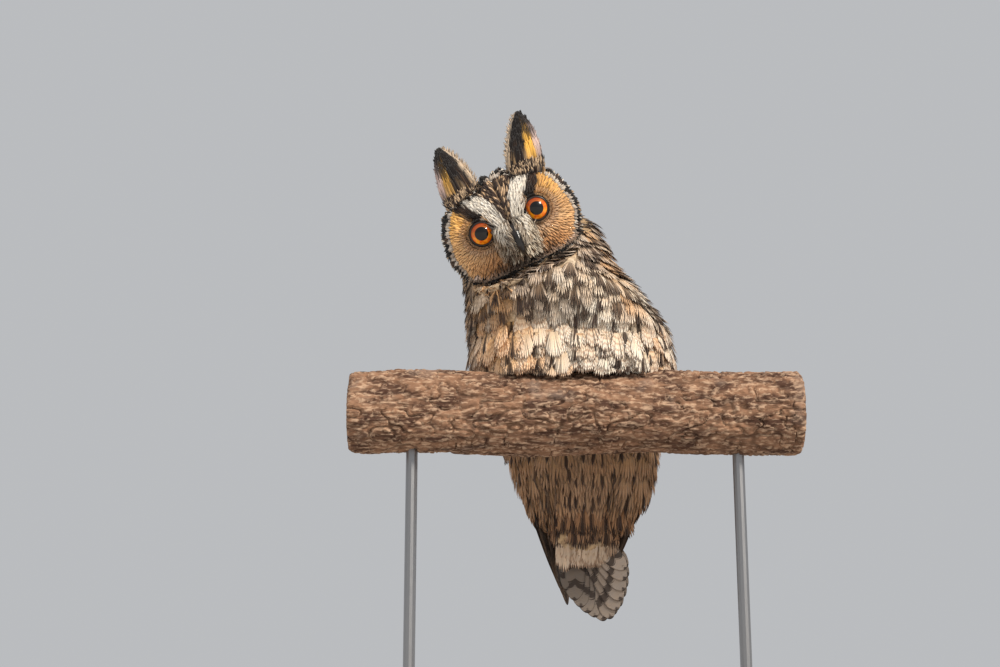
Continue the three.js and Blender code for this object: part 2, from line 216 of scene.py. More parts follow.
def mesh_object(name, points, polygons, flat=None, point_data=None, patches=None):
    """An object from points in millimetres and a list of arrays of polygons, each array of one size.

    flat tells for each array whether its polygons are flat, and the others are smooth."""
    mesh = bpy.data.meshes.new(name)
    loops = np.concatenate([p.ravel() for p in polygons]).astype(np.int32)
    sizes = np.concatenate([np.full(len(p), p.shape[1]) for p in polygons])
    starts = np.concatenate([[0], np.cumsum(sizes)[:-1]]).astype(np.int32)
    flat = flat or [False] * len(polygons)
    smooth = np.concatenate([np.full(len(p), not is_flat) for p, is_flat in zip(polygons, flat)])
    mesh.vertices.add(len(points))
    mesh.vertices.foreach_set("co", (points * MM).astype(np.float32).ravel())
    mesh.loops.add(len(loops))
    mesh.loops.foreach_set("vertex_index", loops)
    mesh.polygons.add(len(sizes))
    mesh.polygons.foreach_set("loop_start", starts)
    mesh.polygons.foreach_set("use_smooth", smooth)
    mesh.update(calc_edges=True)
    for key, (kind, values) in (point_data or {}).items():
        field = "color" if kind == "FLOAT_COLOR" else "vector"
        mesh.attributes.new(key, kind, "POINT").data.foreach_set(field, values.astype(np.float32).ravel())
    if patches is not None:
        mesh.uv_layers.new(name="OFBake").data.foreach_set("uv", patches[loops].astype(np.float32).ravel())
    return new_object(name, mesh)


def with_alpha(rgb, alpha=1.0):
    alpha = np.broadcast_to(np.asarray(alpha, float)[..., None], rgb.shape[:-1] + (1,))
    return np.concatenate([rgb, alpha], axis=-1)


def finish_piece(obj, material, replaces=()):
    obj.data.materials.clear()
    obj.data.materials.append(material)
    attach(obj, "root")
    if replaces:
        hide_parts(*replaces)
    return obj


# The skin: one closed surface from the flesh nodes, drawn in by the depth of the coat
FLESH = ["head", "neck", "trunk", "wing_left", "wing_right",
         "leg_left", "leg_right", "foot_left", "foot_right"]
SKIN_VOXEL = 2.0
SINKING_STEPS = 6


def voxel_solid(name, nodes, voxel, smoothing=0):
    """A mesh of several of the frame's solids, made again from small cubes and smoothed."""
    join = bmesh.new()
    for node in nodes:
        join.from_mesh(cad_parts[node].data)
    mesh = bpy.data.meshes.new(name)
    join.to_mesh(mesh)
    join.free()
    obj = new_object(name, mesh)
    remesh = obj.modifiers.new("Remesh", "REMESH")
    remesh.mode = "VOXEL"
    remesh.voxel_size = voxel * MM
    remesh.use_smooth_shade = True
    if smoothing:
        obj.modifiers.new("Smooth", "SMOOTH").iterations = smoothing
    solid = bpy.data.meshes.new_from_object(obj.evaluated_get(bpy.context.evaluated_depsgraph_get()))
    bpy.data.objects.remove(obj)
    return solid


def largest_part(mesh):
    """Points and faces of the mesh's largest connected part, as arrays."""
    work = bmesh.new()
    work.from_mesh(mesh)
    work.verts.ensure_lookup_table()
    seen = np.zeros(len(work.verts), bool)
    best = []
    for start in work.verts:
        if seen[start.index]:
            continue
        seen[start.index] = True
        part, queue = [start], [start]
        while queue:
            vert = queue.pop()
            for edge in vert.link_edges:
                other = edge.other_vert(vert)
                if not seen[other.index]:
                    seen[other.index] = True
                    part.append(other)
                    queue.append(other)
        if len(part) > len(best):
            best = part
    keep = {v.index for v in best}
    bmesh.ops.delete(work, geom=[v for v in work.verts if v.index not in keep], context="VERTS")
    bmesh.ops.triangulate(work, faces=work.faces)
    work.verts.index_update()
    points = np.array([v.co for v in work.verts]) / MM
    faces = np.array([[v.index for v in f.verts] for f in work.faces])
    work.free()
    return points, faces


def averaged(values, edges, count, rounds, amount=0.5):
    """Values at points, each moved towards the mean of its neighbours, a number of times."""
    degree = np.bincount(edges.ravel(), minlength=count)[:, None]
    for _ in range(rounds):
        total = np.zeros_like(values)
        for k in range(values.shape[1]):
            total[:, k] = (np.bincount(edges[:, 0], values[edges[:, 1], k], count)
                           + np.bincount(edges[:, 1], values[edges[:, 0], k], count))
        values = values + amount * (total / degree - values)
    return values


def point_normals(points, faces):
    corners = points[faces]
    face_normals = np.cross(corners[:, 1] - corners[:, 0], corners[:, 2] - corners[:, 0])
    normals = np.zeros_like(points)
    for k in range(3):
        for axis in range(3):
            normals[:, axis] += np.bincount(faces[:, k], face_normals[:, axis], len(points))
    return unit(normals)


def face_share(points):
    """0 in the middle of the face and 1 at the ruff, on the front of the head, and over 1 elsewhere."""
    local = to_head(points)
    turn = np.arctan2(local[..., 2], local[..., 0])
    share = np.hypot(local[..., 0], local[..., 2]) / ruff_radius(turn)
    return np.where(local[..., 1] < 13, share, 1.2 + share)


def head_weight(points):
    """1 on the head, falling to 0 on the neck."""
    local = to_head(points)
    middle = np.array([0, 20, 2])
    reach = np.array([50, 46, 39])
    x, y, z = np.moveaxis((local - middle) / reach, -1, 0)
    return 1 - smoothstep(1.0, 1.16, np.sqrt(x ** 2 + y ** 2 + z ** 2))


def near_foot(points):
    """1 round the toes and the lower legs."""
    from_axis = np.hypot(points[..., 1], points[..., 2] - PERCH_Z)
    return smoothstep(-36, -26, -np.abs(points[..., 1] - 2)) * smoothstep(44, 40, from_axis)


def coat_depth(points):
    body, head, face = 7.0, 3.6, 2.4
    on_head = head_weight(points)
    depth = body + (head - body) * on_head
    return depth + (face - depth) * (1 - smoothstep(0.86, 1.0, face_share(points))) * on_head


def make_skin():
    points, faces = largest_part(voxel_solid("flesh", FLESH, SKIN_VOXEL))
    pairs = np.concatenate([faces[:, [0, 1]], faces[:, [1, 2]], faces[:, [2, 0]]])
    edges = np.unique(np.sort(pairs, axis=1), axis=0)
    count = len(points)
    points = averaged(points, edges, count, 10)
    depth = averaged(coat_depth(points)[:, None], edges, count, 12)
    for _ in range(SINKING_STEPS):
        points = points - point_normals(points, faces) * depth / SINKING_STEPS
        points = averaged(points, edges, count, 1, 0.35)
    return points, faces


skin_points, skin_faces = make_skin()
skin_tree = BVHTree.FromPolygons([Vector(p) for p in skin_points], skin_faces.tolist())
skin_normals = point_normals(skin_points, skin_faces)


def on_skin(points):
    """The nearest places on the skin, and its smooth normals there."""
    found = [skin_tree.find_nearest(point) for point in points.tolist()]
    places = np.array([place for place, _, _, _ in found], float).reshape(-1, 3)
    faces = np.array([face for _, _, face, _ in found], int)
    return places, unit(skin_normals[skin_faces[faces]].mean(axis=1))


def across(direction, normal):
    """The direction with what points along the normal taken out."""
    return unit(direction - np.sum(direction * normal, axis=-1, keepdims=True) * normal)


def turned(direction, normal, angle):
    angle = np.asarray(angle, float)[..., None]
    return direction * np.cos(angle) + np.cross(normal, direction) * np.sin(angle)


def march(roots, flow, lengths, splay=0.0, steps=4):
    """Nodes of centre lines that follow the skin from their roots along the flow, and the normals there."""
    place, normal = on_skin(roots)
    nodes, normals = [place], [normal]
    for _ in range(steps):
        direction = turned(across(flow(place), normal), normal, np.broadcast_to(splay, lengths.shape))
        place, normal = on_skin(place + direction * (lengths / steps)[:, None])
        nodes.append(place)
        normals.append(normal)
    return np.stack(nodes, axis=1), np.stack(normals, axis=1)


# Feathers: each is a closed vane, arched from edge to edge, with a flat underside
class Coat:
    """Gathers feathers of one or more sizes into one joined mesh."""

    LAYERS = {
        "ground": "FLOAT_COLOR", "marking": "FLOAT_COLOR", "vane": "FLOAT_VECTOR", "kind": "FLOAT_VECTOR",
    }

    def __init__(self, name):
        self.name = name
        self.points, self.polygons, self.flat, self.patches = [], [], [], []
        self.data = {key: [] for key in self.LAYERS}
        self.count = 0

    def add(self, nodes, normals, half_width, rise, ground, marking, kind, patch,
            rows=7, columns=5, root_width=0.45, tip_width=0.6, round_tip=0.8, fray=0.04, arch=0.16,
            patch_size=(0.003, 0.003), wave=0.0, seed=None):
        """Adds feathers along the centre lines given by nodes (feathers, steps, 3).

        rise is each feather's height over its nodes at its root and tip. kind holds how wide its shaft streak
        is, how strong its bars and its tip line are. Colours are one for each feather, or (base, tip)."""
        total, steps = nodes.shape[:2]
        if total == 0:
            return
        t = (1 - (1 - np.linspace(0, 1, rows)) ** 1.35)[None, :, None]
        v = np.linspace(-1, 1, columns)[None, None, :]
        width = np.broadcast_to(half_width, (total,)).astype(float)[:, None, None]
        step_vectors = np.diff(nodes, axis=1)
        length = np.linalg.norm(step_vectors, axis=2).sum(axis=1)[:, None, None]
        pulled = round_tip * (width / length) * v ** 2 * t ** 3
        ragged = rng.uniform(0, 1.6, (total, 1, columns)) * fray * t ** 6
        along = np.clip(t - pulled - ragged, 0, 1)
        at = along * (steps - 1)
        normal = unit(between(normals, at))
        forward = unit(between(step_vectors, np.clip(at - 0.5, 0, steps - 2)))
        sideways = unit(np.cross(forward, normal))
        # A vane widens over its first part and narrows over its last
        spread = np.minimum(1, root_width + (1 - root_width) * t / 0.45)
        spread = spread * (1 - (1 - tip_width) * np.clip((t - 0.55) / 0.45, 0, 1) ** 2)
        edge_wave = 1 + wave * rng.uniform(-1, 1, (total, rows, 1)) * np.abs(v)
        reach = width * spread * v * edge_wave
        low_rise, high_rise = (np.broadcast_to(r, (total,))[:, None, None] for r in rise)
        height = low_rise + (high_rise - low_rise) * along - arch * width * spread * v ** 2
        points = between(nodes, at) + sideways * reach[..., None] + normal * height[..., None]
        self._add_faces(total, rows, columns)
        self.points.append(points.reshape(-1, 3))

        shape = (total, rows, columns)
        seed = (rng.random(total) if seed is None else seed)[:, None, None]
        barb = t * length - 0.8 * np.abs(reach) + seed * 97
        t_all = np.broadcast_to(t, shape)
        seed_all = np.broadcast_to(seed, shape).reshape(-1)
        self.data["ground"].append(with_alpha(self._each(ground, t_all), seed_all))
        self.data["marking"].append(with_alpha(self._each(marking, t_all)))
        self.data["vane"].append(xyz(t, v, barb).reshape(-1, 3))
        self.data["kind"].append(self._each(kind, t_all))
        in_patch = np.stack([np.broadcast_to(v, shape) * 0.5, along - 0.5], axis=-1)
        in_patch = in_patch * np.array(patch_size) * 0.94
        self.patches.append((patch[:, None, None, :] + in_patch).reshape(-1, 2))

    def _add_faces(self, total, rows, columns):
        """The arched top, the flat underside and both ends of feathers whose points come next."""
        first = self.count + np.arange(total)[:, None, None] * rows * columns
        left = np.arange(rows - 1) * columns
        corner = (left[:, None] + np.arange(columns - 1)).ravel()
        top = corner[:, None] + np.array([0, columns, columns + 1, 1])
        under = left[:, None] + np.array([0, columns - 1, 2 * columns - 1, columns])
        ends = np.stack([np.arange(columns), (rows - 1) * columns + np.arange(columns)[::-1]])
        for faces, is_flat in ((top, False), (under, True), (ends, True)):
            self.polygons.append((first + faces).reshape(-1, faces.shape[1]))
            self.flat.append(is_flat)
        self.count += total * rows * columns

    def add_bristles(self, nodes, normals, half_width, rise, ground, patch, tip_width, rows=5, marking=BLACK):
        """Adds narrow feathers with no markings. There may be one normal for each."""
        if normals.ndim == 2:
            normals = np.broadcast_to(normals[:, None], nodes.shape)
        self.add(nodes, normals, half_width, rise, ground, marking, np.zeros(3), patch, rows=rows, columns=3,
                 tip_width=tip_width, round_tip=1.0, fray=0.0)

    def add_plumes(self, nodes, normals, half_width, lift, ground, marking, kind, patch,
                   blades=9, rows=5, arch=0.2, loose=0.3, fan=0.75):
        """Adds soft feathers, each a fan of narrow overlapping blades that part from its shaft.

        The blades close to the shaft take the marking's colour, over the share of the width in kind."""
        total, steps = nodes.shape[:2]
        if total == 0:
            return
        sideways = unit(np.cross(np.gradient(nodes, axis=1), normals))
        half_width, lift = (np.broadcast_to(value, (total,)).astype(float) for value in (half_width, lift))
        seed = rng.random(total)
        t = np.linspace(0, 1, steps)
        streak = kind[:, 0]
        for place_across in np.linspace(-1, 1, blades):
            b = place_across + jitter(total, 0.5 / blades)
            end = 1 - 0.36 * b ** 2 + jitter(total, 0.06)
            along = t[None, :] * end[:, None]
            at = np.clip(along, 0, 1) * (steps - 1)
            path, upward, out = (between(values, at) for values in (nodes, normals, sideways))
            spread = 1 - fan + fan * along ** 0.85
            path = path + out * (half_width[:, None] * b[:, None] * spread)[..., None]
            facing = unit(upward + out * (b * 0.4)[:, None, None])
            top = lift * end - arch * half_width * b ** 2 + jitter(total, loose)
            close = smoothstep(0.25, -0.05, np.abs(b) - streak * vary(total, 0.3)) * (streak > 0.02)
            tone = 1 + jitter(total, 0.07) - 0.1 * np.abs(b)
            marked = np.stack([close * np.where(streak < 0.3, 0.9, 0.5), close], axis=1)
            shade = blend(ground, np.stack([marking, marking], axis=1), marked) * tone[:, None, None]
            self.add(path, facing, half_width * 1.45 / blades, (0.2, np.maximum(top, 0.4)), shade, marking,
                     kind * np.array([0, 1, 1]), patch, rows=rows, columns=3, root_width=0.7, tip_width=0.25,
                     round_tip=0.9, fray=0.0, arch=0.3, seed=seed)

    @staticmethod
    def _each(values, t):
        """Values for each vertex, from one for all, one for each feather, or one for each base and tip."""
        values = np.asarray(values, float)
        size = values.shape[-1]
        if values.ndim == 3:
            base, tip = values[:, 0, None, None, :], values[:, 1, None, None, :]
            return (base + (tip - base) * t[..., None]).reshape(-1, size)
        values = np.broadcast_to(values, (len(t), size))
        return np.broadcast_to(values[:, None, None, :], t.shape + (size,)).reshape(-1, size)

    def make(self, slot, material, replaces=()):
        layers = {key: (kind, np.concatenate(self.data[key])) for key, kind in self.LAYERS.items()}
        obj = mesh_object(self.name, np.concatenate(self.points), self.polygons, self.flat, layers,
                          np.concatenate(self.patches))
        return finish_piece(obj, material, replaces)


def scatter(spacing, where, gap):
    """Random places on the skin, about spacing apart, where the test is above a random number."""
    tries = 3.0
    corners = skin_points[skin_faces]
    areas = np.linalg.norm(np.cross(corners[:, 1] - corners[:, 0], corners[:, 2] - corners[:, 0]), axis=1) / 2
    chance = areas * where(corners.mean(axis=1))
    count = int(tries * chance.sum() / spacing ** 2)
    faces = rng.choice(len(areas), count, p=chance / chance.sum())
    a, b = rng.random((2, count))
    flip = a + b > 1
    a, b = (np.where(flip, 1 - share, share)[:, None] for share in (a, b))
    c = corners[faces]
    return thinned(c[:, 0] + a * (c[:, 1] - c[:, 0]) + b * (c[:, 2] - c[:, 0]), gap)


def thinned(places, gap):
    """The places in order, without those closer than the gap to an earlier one."""
    cells = {}
    kept = []
    around = [(i, j, k) for i in (-1, 0, 1) for j in (-1, 0, 1) for k in (-1, 0, 1)]
    keys = np.floor(places / gap).astype(int).tolist()
    for n, ((a, b, c), place) in enumerate(zip(keys, places.tolist())):
        near = (other for i, j, k in around for other in cells.get((a + i, b + j, c + k), ()))
        if not any(math.dist(place, other) < gap for other in near):
            cells.setdefault((a, b, c), []).append(place)
            kept.append(n)
    return places[kept]


# Unwraps of the skin's own shape, which give each feather its patch
def body_unwrap(points):
    height, turn = body_place(points)
    return np.stack([0.5 + turn / (2.04 * math.pi), np.clip((height + 100) / 290, 0.004, 0.996)], axis=-1)


def head_unwrap(points):
    local = to_head(points) - np.array([0, 22, 0])
    out = np.arctan2(np.hypot(local[..., 0], local[..., 2]), -local[..., 1]) / math.pi
    turn = np.arctan2(local[..., 2], local[..., 0])
    return np.stack([0.5 + 0.49 * out * np.cos(turn), 0.5 + 0.49 * out * np.sin(turn)], axis=-1)


# Colours of the plumage


def segment_distance(x, z, start, end):
    """Distance from a segment in the plane of the face, and the share of the way along it."""
    (ax, az), (bx, bz) = start, end
    dx, dz = bx - ax, bz - az
    share = np.clip(((x - ax) * dx + (z - az) * dz) / (dx * dx + dz * dz), 0, 1)
    return np.hypot(x - ax - share * dx, z - az - share * dz), share


def head_colour(points):
    """The head's ground colour at places on it."""
    local = to_head(points)
    x, z = np.abs(local[..., 0]), local[..., 2]
    share = face_share(points)
    fine = noise(points, 1.6, 3)
    mottle = noise(points, 4.5, 4)
    edge = (fine - 0.5) * 1.6

    # The back and top of the head, mottled and streaked
    outside = blend(DARK, BUFF, smoothstep(0.42, 0.66, 0.4 * mottle + 0.6 * fine))
    outside = blend(outside, GREY, 0.35 * smoothstep(0.4, 0.8, noise(points, 9, 5)))

    # The disc round each eye
    from_eye = np.hypot(x - EYE_SPREAD, z)
    turn = np.arctan2(z, x - EYE_SPREAD)
    bright = bell(turn - math.radians(52), 0.8)
    low = smoothstep(-0.5, -1.5, turn) * smoothstep(14, 24, from_eye)
    disc = blend(colour(228, 180, 128), colour(248, 188, 102), bright)
    disc = blend(disc, colour(190, 132, 86), 0.75 * low)
    disc = blend(disc, colour(176, 150, 136), 0.5 * bell(from_eye - 14, 4))
    disc = blend(disc, colour(180, 126, 80), 0.35 * smoothstep(0.45, 0.7, mottle))

    # Bristles between the eyes and the bill, and under the eyes
    # More bristles are pale on the bird's left: painted light on its lit side
    pale_and_lit_bristle = smoothstep(0.35, 0.7, fine + 0.1 * np.sign(local[..., 0]))
    bristle = blend(colour(146, 122, 100), colour(240, 226, 204), pale_and_lit_bristle)
    near_bill = smoothstep(20, 9, x + 0.25 * np.abs(z + 12)) * smoothstep(4, -4, z - 2)
    disc = blend(disc, bristle, near_bill)
    # A dark patch beside the bill, the plumage's own, deepened by painted shade on the bird's right
    dark_by_bill_and_shade = bell(x - 7.5, 3.2) * bell(z + 20, 6) * np.where(local[..., 0] > 0, 0.35, 1)
    disc = blend(disc, DARK, 0.75 * dark_by_bill_and_shade)
    disc = blend(disc, DARK, 0.8 * smoothstep(-22, -29, z + edge) * smoothstep(30, 18, x))

    # Dark round the eye, with the black patch towards the ear tuft
    disc = blend(disc, BLACK, smoothstep(11.8, 9.8, from_eye + edge))
    patch, up = segment_distance(x, z, (17.5, 7), (27, 24))
    black = blend(BLACK, colour(76, 52, 36), up * fine)
    disc = blend(disc, black, smoothstep(2.4, 0.4, patch + edge - 2.2 - 2 * up))
    # A dark mottled patch on the disc, well below the eye
    disc = blend(disc, DARK, 0.8 * bell(np.hypot(x - 17, z + 17), 4.5) * smoothstep(0.35, 0.6, fine))

    # The white brows in a V, and the dark wedge between them
    inner, _ = segment_distance(x, z, (4.6, -6), (10, 12))
    outer, up = segment_distance(x, z, (10, 12), (18.5, 25))
    brow = np.minimum(inner + 0.6, outer - 1.3 * up)
    centre_x = np.interp(z, [-6, 12, 26], [4.6, 10, 19])
    wedge = smoothstep(0.5, -1.5, x - centre_x + edge) * smoothstep(-5, 1, z)
    speckle = noise(points, 0.9, 9)
    forehead = blend(DARK, colour(206, 172, 136), smoothstep(0.53, 0.68, 0.65 * speckle + 0.35 * mottle))
    disc = blend(disc, forehead, wedge)
    disc = blend(disc, WHITE, smoothstep(5.2, 3.6, brow + edge) * smoothstep(29, 26, z))
    disc = blend(disc, forehead, smoothstep(25.5, 28, z + edge) * smoothstep(34, 24, x))

    # The ruff: a pale line and then a black one
    pale = smoothstep(0.87, 0.91, share + 0.02 * edge) * smoothstep(-34, -24, z)
    disc = blend(disc, colour(206, 194, 188), 0.85 * pale)
    ruff = blend(BLACK, WHITE, smoothstep(0.56, 0.66, noise(points, 2.4, 6)) * smoothstep(0.985, 1.0, share))
    result = blend(disc, ruff, smoothstep(0.935, 0.95, share + 0.008 * edge))
    return blend(result, outside, smoothstep(1.05, 1.1, share + 0.02 * edge))


def body_colour(points):
    """The skin's colour under the body's feathers, close to theirs."""
    _, turn = body_place(points)
    front = smoothstep(2.1, 1.3, np.abs(turn))
    light = blend(BUFF, CREAM, noise(points, 9, 7))
    dark = blend(BROWN, DARK, noise(points, 8, 8))
    return blend(blend(dark, light, front), blend(BUFF, CREAM, 0.4), near_foot(points))


def skin_colour(points):
    return blend(body_colour(points), head_colour(points), head_weight(points)) * 0.8


# Materials
class Shader:
    """Short calls for one node material."""

    def __init__(self, name, **sockets):
        self.material = bpy.data.materials.new(name)
        self.material.use_nodes = True
        self.tree = self.material.node_tree
        self.principled = self.tree.nodes["Principled BSDF"]
        for key, value in sockets.items():
            self.principled.inputs[key.replace("_", " ")].default_value = value

    def _set(self, socket, value):
        if isinstance(value, bpy.types.NodeSocket):
            self.tree.links.new(value, socket)
        else:
            socket.default_value = value

    def node(self, kind, settings=None, **inputs):
        """A new node. Inputs are given by name, or as i0, i1 and so on by their places."""
        made = self.tree.nodes.new(kind)
        for key, value in (settings or {}).items():
            setattr(made, key, value)
        for key, value in inputs.items():
            by_place = key[0] == "i" and key[1:].isdigit()
            self._set(made.inputs[int(key[1:]) if by_place else key], value)
        return made

    def attribute(self, name):
        return self.node("ShaderNodeAttribute", {"attribute_name": name})

    def place(self):
        return self.node("ShaderNodeTexCoord").outputs["Object"]

    def stretched(self, *scale):
        return self.node("ShaderNodeMapping", Vector=self.place(), Scale=scale).outputs[0]

    def parts(self, vector):
        return self.node("ShaderNodeSeparateXYZ", i0=vector).outputs

    def maths(self, operation, *values, clamp=False):
        inputs = {f"i{k}": value for k, value in enumerate(values)}
        return self.node("ShaderNodeMath", {"operation": operation, "use_clamp": clamp}, **inputs).outputs[0]

    def times(self, a, b):
        return self.maths("MULTIPLY", a, b)

    def times_plus(self, a, b, c, clamp=False):
        return self.maths("MULTIPLY_ADD", a, b, c, clamp=clamp)

    def ramp(self, value, low, high):
        """0 up to low, 1 from high on, and smooth between."""
        looks = {"interpolation_type": "SMOOTHSTEP"}
        made = self.node("ShaderNodeMapRange", looks, i0=value, i1=low, i2=high)
        return made.outputs[0]

    def mix(self, share, a, b, how="MIX"):
        made = self.node("ShaderNodeMix", {"data_type": "RGBA", "blend_type": how})
        self._set(made.inputs[0], share)
        for socket, value in ((made.inputs[6], a), (made.inputs[7], b)):
            is_socket = isinstance(value, bpy.types.NodeSocket)
            self._set(socket, value if is_socket else tuple(value)[:3] + (1.0,))
        return made.outputs[2]

    def noise(self, place, scale, detail=2.0, dimensions="3D"):
        where = {"W" if dimensions == "1D" else "Vector": place}
        looks = {"noise_dimensions": dimensions}
        made = self.node("ShaderNodeTexNoise", looks, Scale=scale, Detail=detail, **where)
        return made.outputs[0]

    def bump(self, height, strength, distance):
        made = self.node("ShaderNodeBump", Strength=strength, Distance=distance, Height=height)
        self.paint(made.outputs[0], "Normal")

    def paint(self, value, socket="Base Color"):
        self.tree.links.new(value, self.principled.inputs[socket])


def feather_material(name, barb_contrast, roughness):
    """Ground colour, shaft streak, bars, tip line and fine barbs, all from the feathers' own attributes."""
    s = Shader(name, Roughness=roughness, Specular_IOR_Level=0.25, Sheen_Weight=0.12, Sheen_Roughness=0.5)
    ground_read = s.attribute("ground")
    ground, seed = ground_read.outputs["Color"], ground_read.outputs["Alpha"]
    marking = s.attribute("marking").outputs["Color"]
    along, side, barb = s.parts(s.attribute("vane").outputs["Vector"])
    streak_width, bar_strength, tip_line_and_shadow_strength = s.parts(s.attribute("kind").outputs["Vector"])

    # Barbs run out from the shaft and forwards, finer and coarser ones together
    coarse = s.noise(barb, 0.9, 1.0, "1D")
    fine = s.noise(barb, 2.6, 1.0, "1D")
    out = s.maths("ABSOLUTE", side)
    ragged = s.times_plus(s.maths("SUBTRACT", coarse, 0.5), 0.55, out)

    # The shaft streak widens a little towards the tip
    drop = s.times(streak_width, s.times_plus(along, 0.5, 0.7))
    inside = s.maths("DIVIDE", ragged, s.maths("MAXIMUM", drop, 0.001))
    streak = s.maths("SUBTRACT", 1.0, s.ramp(inside, 0.65, 1.35), clamp=True)
    strength = s.times_plus(coarse, 0.4, 0.74, clamp=True)
    streak = s.times(streak, s.times(s.ramp(streak_width, 0.01, 0.03), strength))

    # Bars cross the vane, bent forwards at its edges
    shifted = s.times_plus(seed, 6.28, s.times(s.times_plus(out, -0.12, along), 30.0))
    wave = s.maths("SINE", s.times_plus(coarse, 2.2, shifted))
    bars = s.times(s.ramp(wave, 0.15, 0.6), bar_strength)

    # A thin dark line close inside the tip's edge: partly the feathers' own marking, partly painted shadow between
    # the rows
    edge = s.times_plus(s.times(out, out), 0.1, along)
    line = s.times(s.ramp(s.times_plus(coarse, 0.06, edge), 0.93, 0.99), tip_line_and_shadow_strength)

    painted = s.mix(bars, ground, marking)
    painted = s.mix(line, painted, marking)
    painted = s.mix(streak, painted, marking)
    patchy = s.noise(s.place(), 260.0, 3.0)
    texture = s.times_plus(fine, 0.35, s.times_plus(coarse, 0.35, s.times(patchy, 0.6)))
    light = s.times_plus(texture, barb_contrast * 3, 1 - barb_contrast * 2)
    warm = s.times_plus(s.maths("SUBTRACT", patchy, 0.5), -0.35, light)
    half_warm = s.times_plus(warm, 0.4, s.times(light, 0.6))
    shade = s.node("ShaderNodeCombineColor", i0=light, i1=half_warm, i2=warm).outputs[0]
    s.paint(s.mix(1.0, painted, shade, "MULTIPLY"))
    s.bump(fine, 0.35, 0.0004)
    return s.material


def skin_material():
    s = Shader("skin_down", Roughness=0.9, Specular_IOR_Level=0.15)
    down = s.noise(s.place(), 420.0, 3.0)
    ground = s.attribute("ground").outputs["Color"]
    darker = s.mix(1.0, ground, (0.55, 0.5, 0.47), "MULTIPLY")
    s.paint(s.mix(s.ramp(down, 0.3, 0.7), darker, ground))
    s.bump(down, 0.6, 0.001)
    return s.material


def eye_material():
    """Black pupil, orange iris with fine rays and painted shade at its top, and a dark rim. The vane attribute
    holds out, turn and up.
    """
    s = Shader("eye_glass", Roughness=0.3, Specular_IOR_Level=0.15, Coat_Weight=0.7, Coat_Roughness=0.02)
    out, turn, up = s.parts(s.attribute("vane").outputs["Vector"])
    ray_place = s.node("ShaderNodeCombineXYZ", i0=s.times(turn, 14.0), i1=s.times(out, 3.0)).outputs[0]
    rays = s.noise(ray_place, 1.0, 2.0, "2D")
    iris = s.mix(s.ramp(rays, 0.3, 0.7), colour(236, 106, 10), colour(255, 160, 26))
    # Painted shade from the brow: the iris darker towards its top
    iris = s.mix(s.ramp(up, -0.35, 0.75), iris, colour(150, 58, 16))
    iris = s.mix(s.ramp(out, 0.735, 0.81), iris, colour(44, 20, 12))
    s.paint(s.mix(s.ramp(out, 0.47, 0.51), colour(5, 4, 5), iris))
    return s.material


def horn_material(name, dark, light):
    s = Shader(name, Roughness=0.35, Specular_IOR_Level=0.5, Coat_Weight=0.15)
    wear = s.noise(s.place(), 260.0, 4.0)
    s.paint(s.mix(s.ramp(wear, 0.35, 0.75), dark, light))
    s.bump(wear, 0.2, 0.0005)
    return s.material


def bark_material():
    s = Shader("bark", Roughness=0.92, Specular_IOR_Level=0.2)
    along_grain = s.stretched(0.32, 1.0, 1.0)
    plates = s.noise(along_grain, 150.0, 6.0)
    grain = s.noise(along_grain, 520.0, 6.0)
    lichen = s.noise(s.place(), 38.0, 3.0)
    relief = s.attribute("relief").outputs["Fac"]
    brown = s.mix(s.ramp(plates, 0.36, 0.64), colour(80, 56, 45), colour(148, 112, 88))
    brown = s.mix(s.ramp(grain, 0.46, 0.68), brown, s.mix(0.5, brown, colour(226, 192, 162)))
    brown = s.mix(s.ramp(lichen, 0.56, 0.72), brown, s.mix(0.35, brown, colour(150, 132, 120)))
    # Painted shade in the bark's cracks: darker where the relief is low
    crack_shade = s.mix(0.45, brown, colour(52, 37, 31))
    s.paint(s.mix(s.ramp(relief, 0.05, 0.42), crack_shade, brown))
    s.bump(grain, 0.8, 0.0014)
    return s.material


def end_grain_material():
    s = Shader("end_grain", Roughness=0.8, Specular_IOR_Level=0.25)
    place = s.place()
    _, back, height = s.parts(place)
    up = s.maths("SUBTRACT", height, PERCH_Z * MM)
    radius = s.maths("SQRT", s.maths("ADD", s.times(up, up), s.times(back, back)))
    wobble = s.noise(place, 60.0, 2.0)
    rings = s.maths("SINE", s.times(s.times_plus(wobble, 0.009, radius), 2300.0))
    wood = s.mix(s.ramp(rings, -0.6, 0.9), colour(200, 166, 124), colour(178, 140, 98))
    cracks = s.noise(place, 420.0, 3.0)
    s.paint(s.mix(s.ramp(cracks, 0.6, 0.75), wood, colour(132, 94, 60)))
    s.bump(rings, 0.2, 0.0004)
    return s.material


def stand_wood_material():
    s = Shader("stand_wood", Roughness=0.4, Coat_Weight=0.35, Coat_Roughness=0.2)
    along_grain = s.stretched(0.12, 1.0, 1.0)
    warp = s.noise(along_grain, 22.0, 3.0)
    lines = s.maths("SINE", s.times_plus(warp, 34.0, s.times(s.parts(along_grain)[1], 620.0)))
    pores = s.noise(s.stretched(0.06, 1.0, 1.0), 900.0, 2.0)
    wood = s.mix(s.ramp(lines, -0.9, 0.9), colour(74, 46, 30), colour(104, 68, 44))
    s.paint(s.mix(s.ramp(pores, 0.58, 0.7), wood, colour(46, 28, 19)))
    s.bump(pores, 0.12, 0.0003)
    return s.material


def stand_steel_material():
    s = Shader("stand_steel", Metallic=1.0, Base_Color=(0.33, 0.33, 0.34, 1.0))
    brushed = s.noise(s.stretched(1.0, 1.0, 0.05), 2600.0, 2.0)
    s.paint(s.node("ShaderNodeMapRange", i0=brushed, i3=0.28, i4=0.46).outputs[0], "Roughness")
    s.bump(brushed, 0.1, 0.0002)
    return s.material


def floor_material():
    s = Shader("pale_floor", Roughness=0.75, Specular_IOR_Level=0.2)
    s.paint(s.mix(s.noise(s.place(), 3.0, 2.0), colour(196, 194, 190), colour(203, 201, 197)))
    return s.material


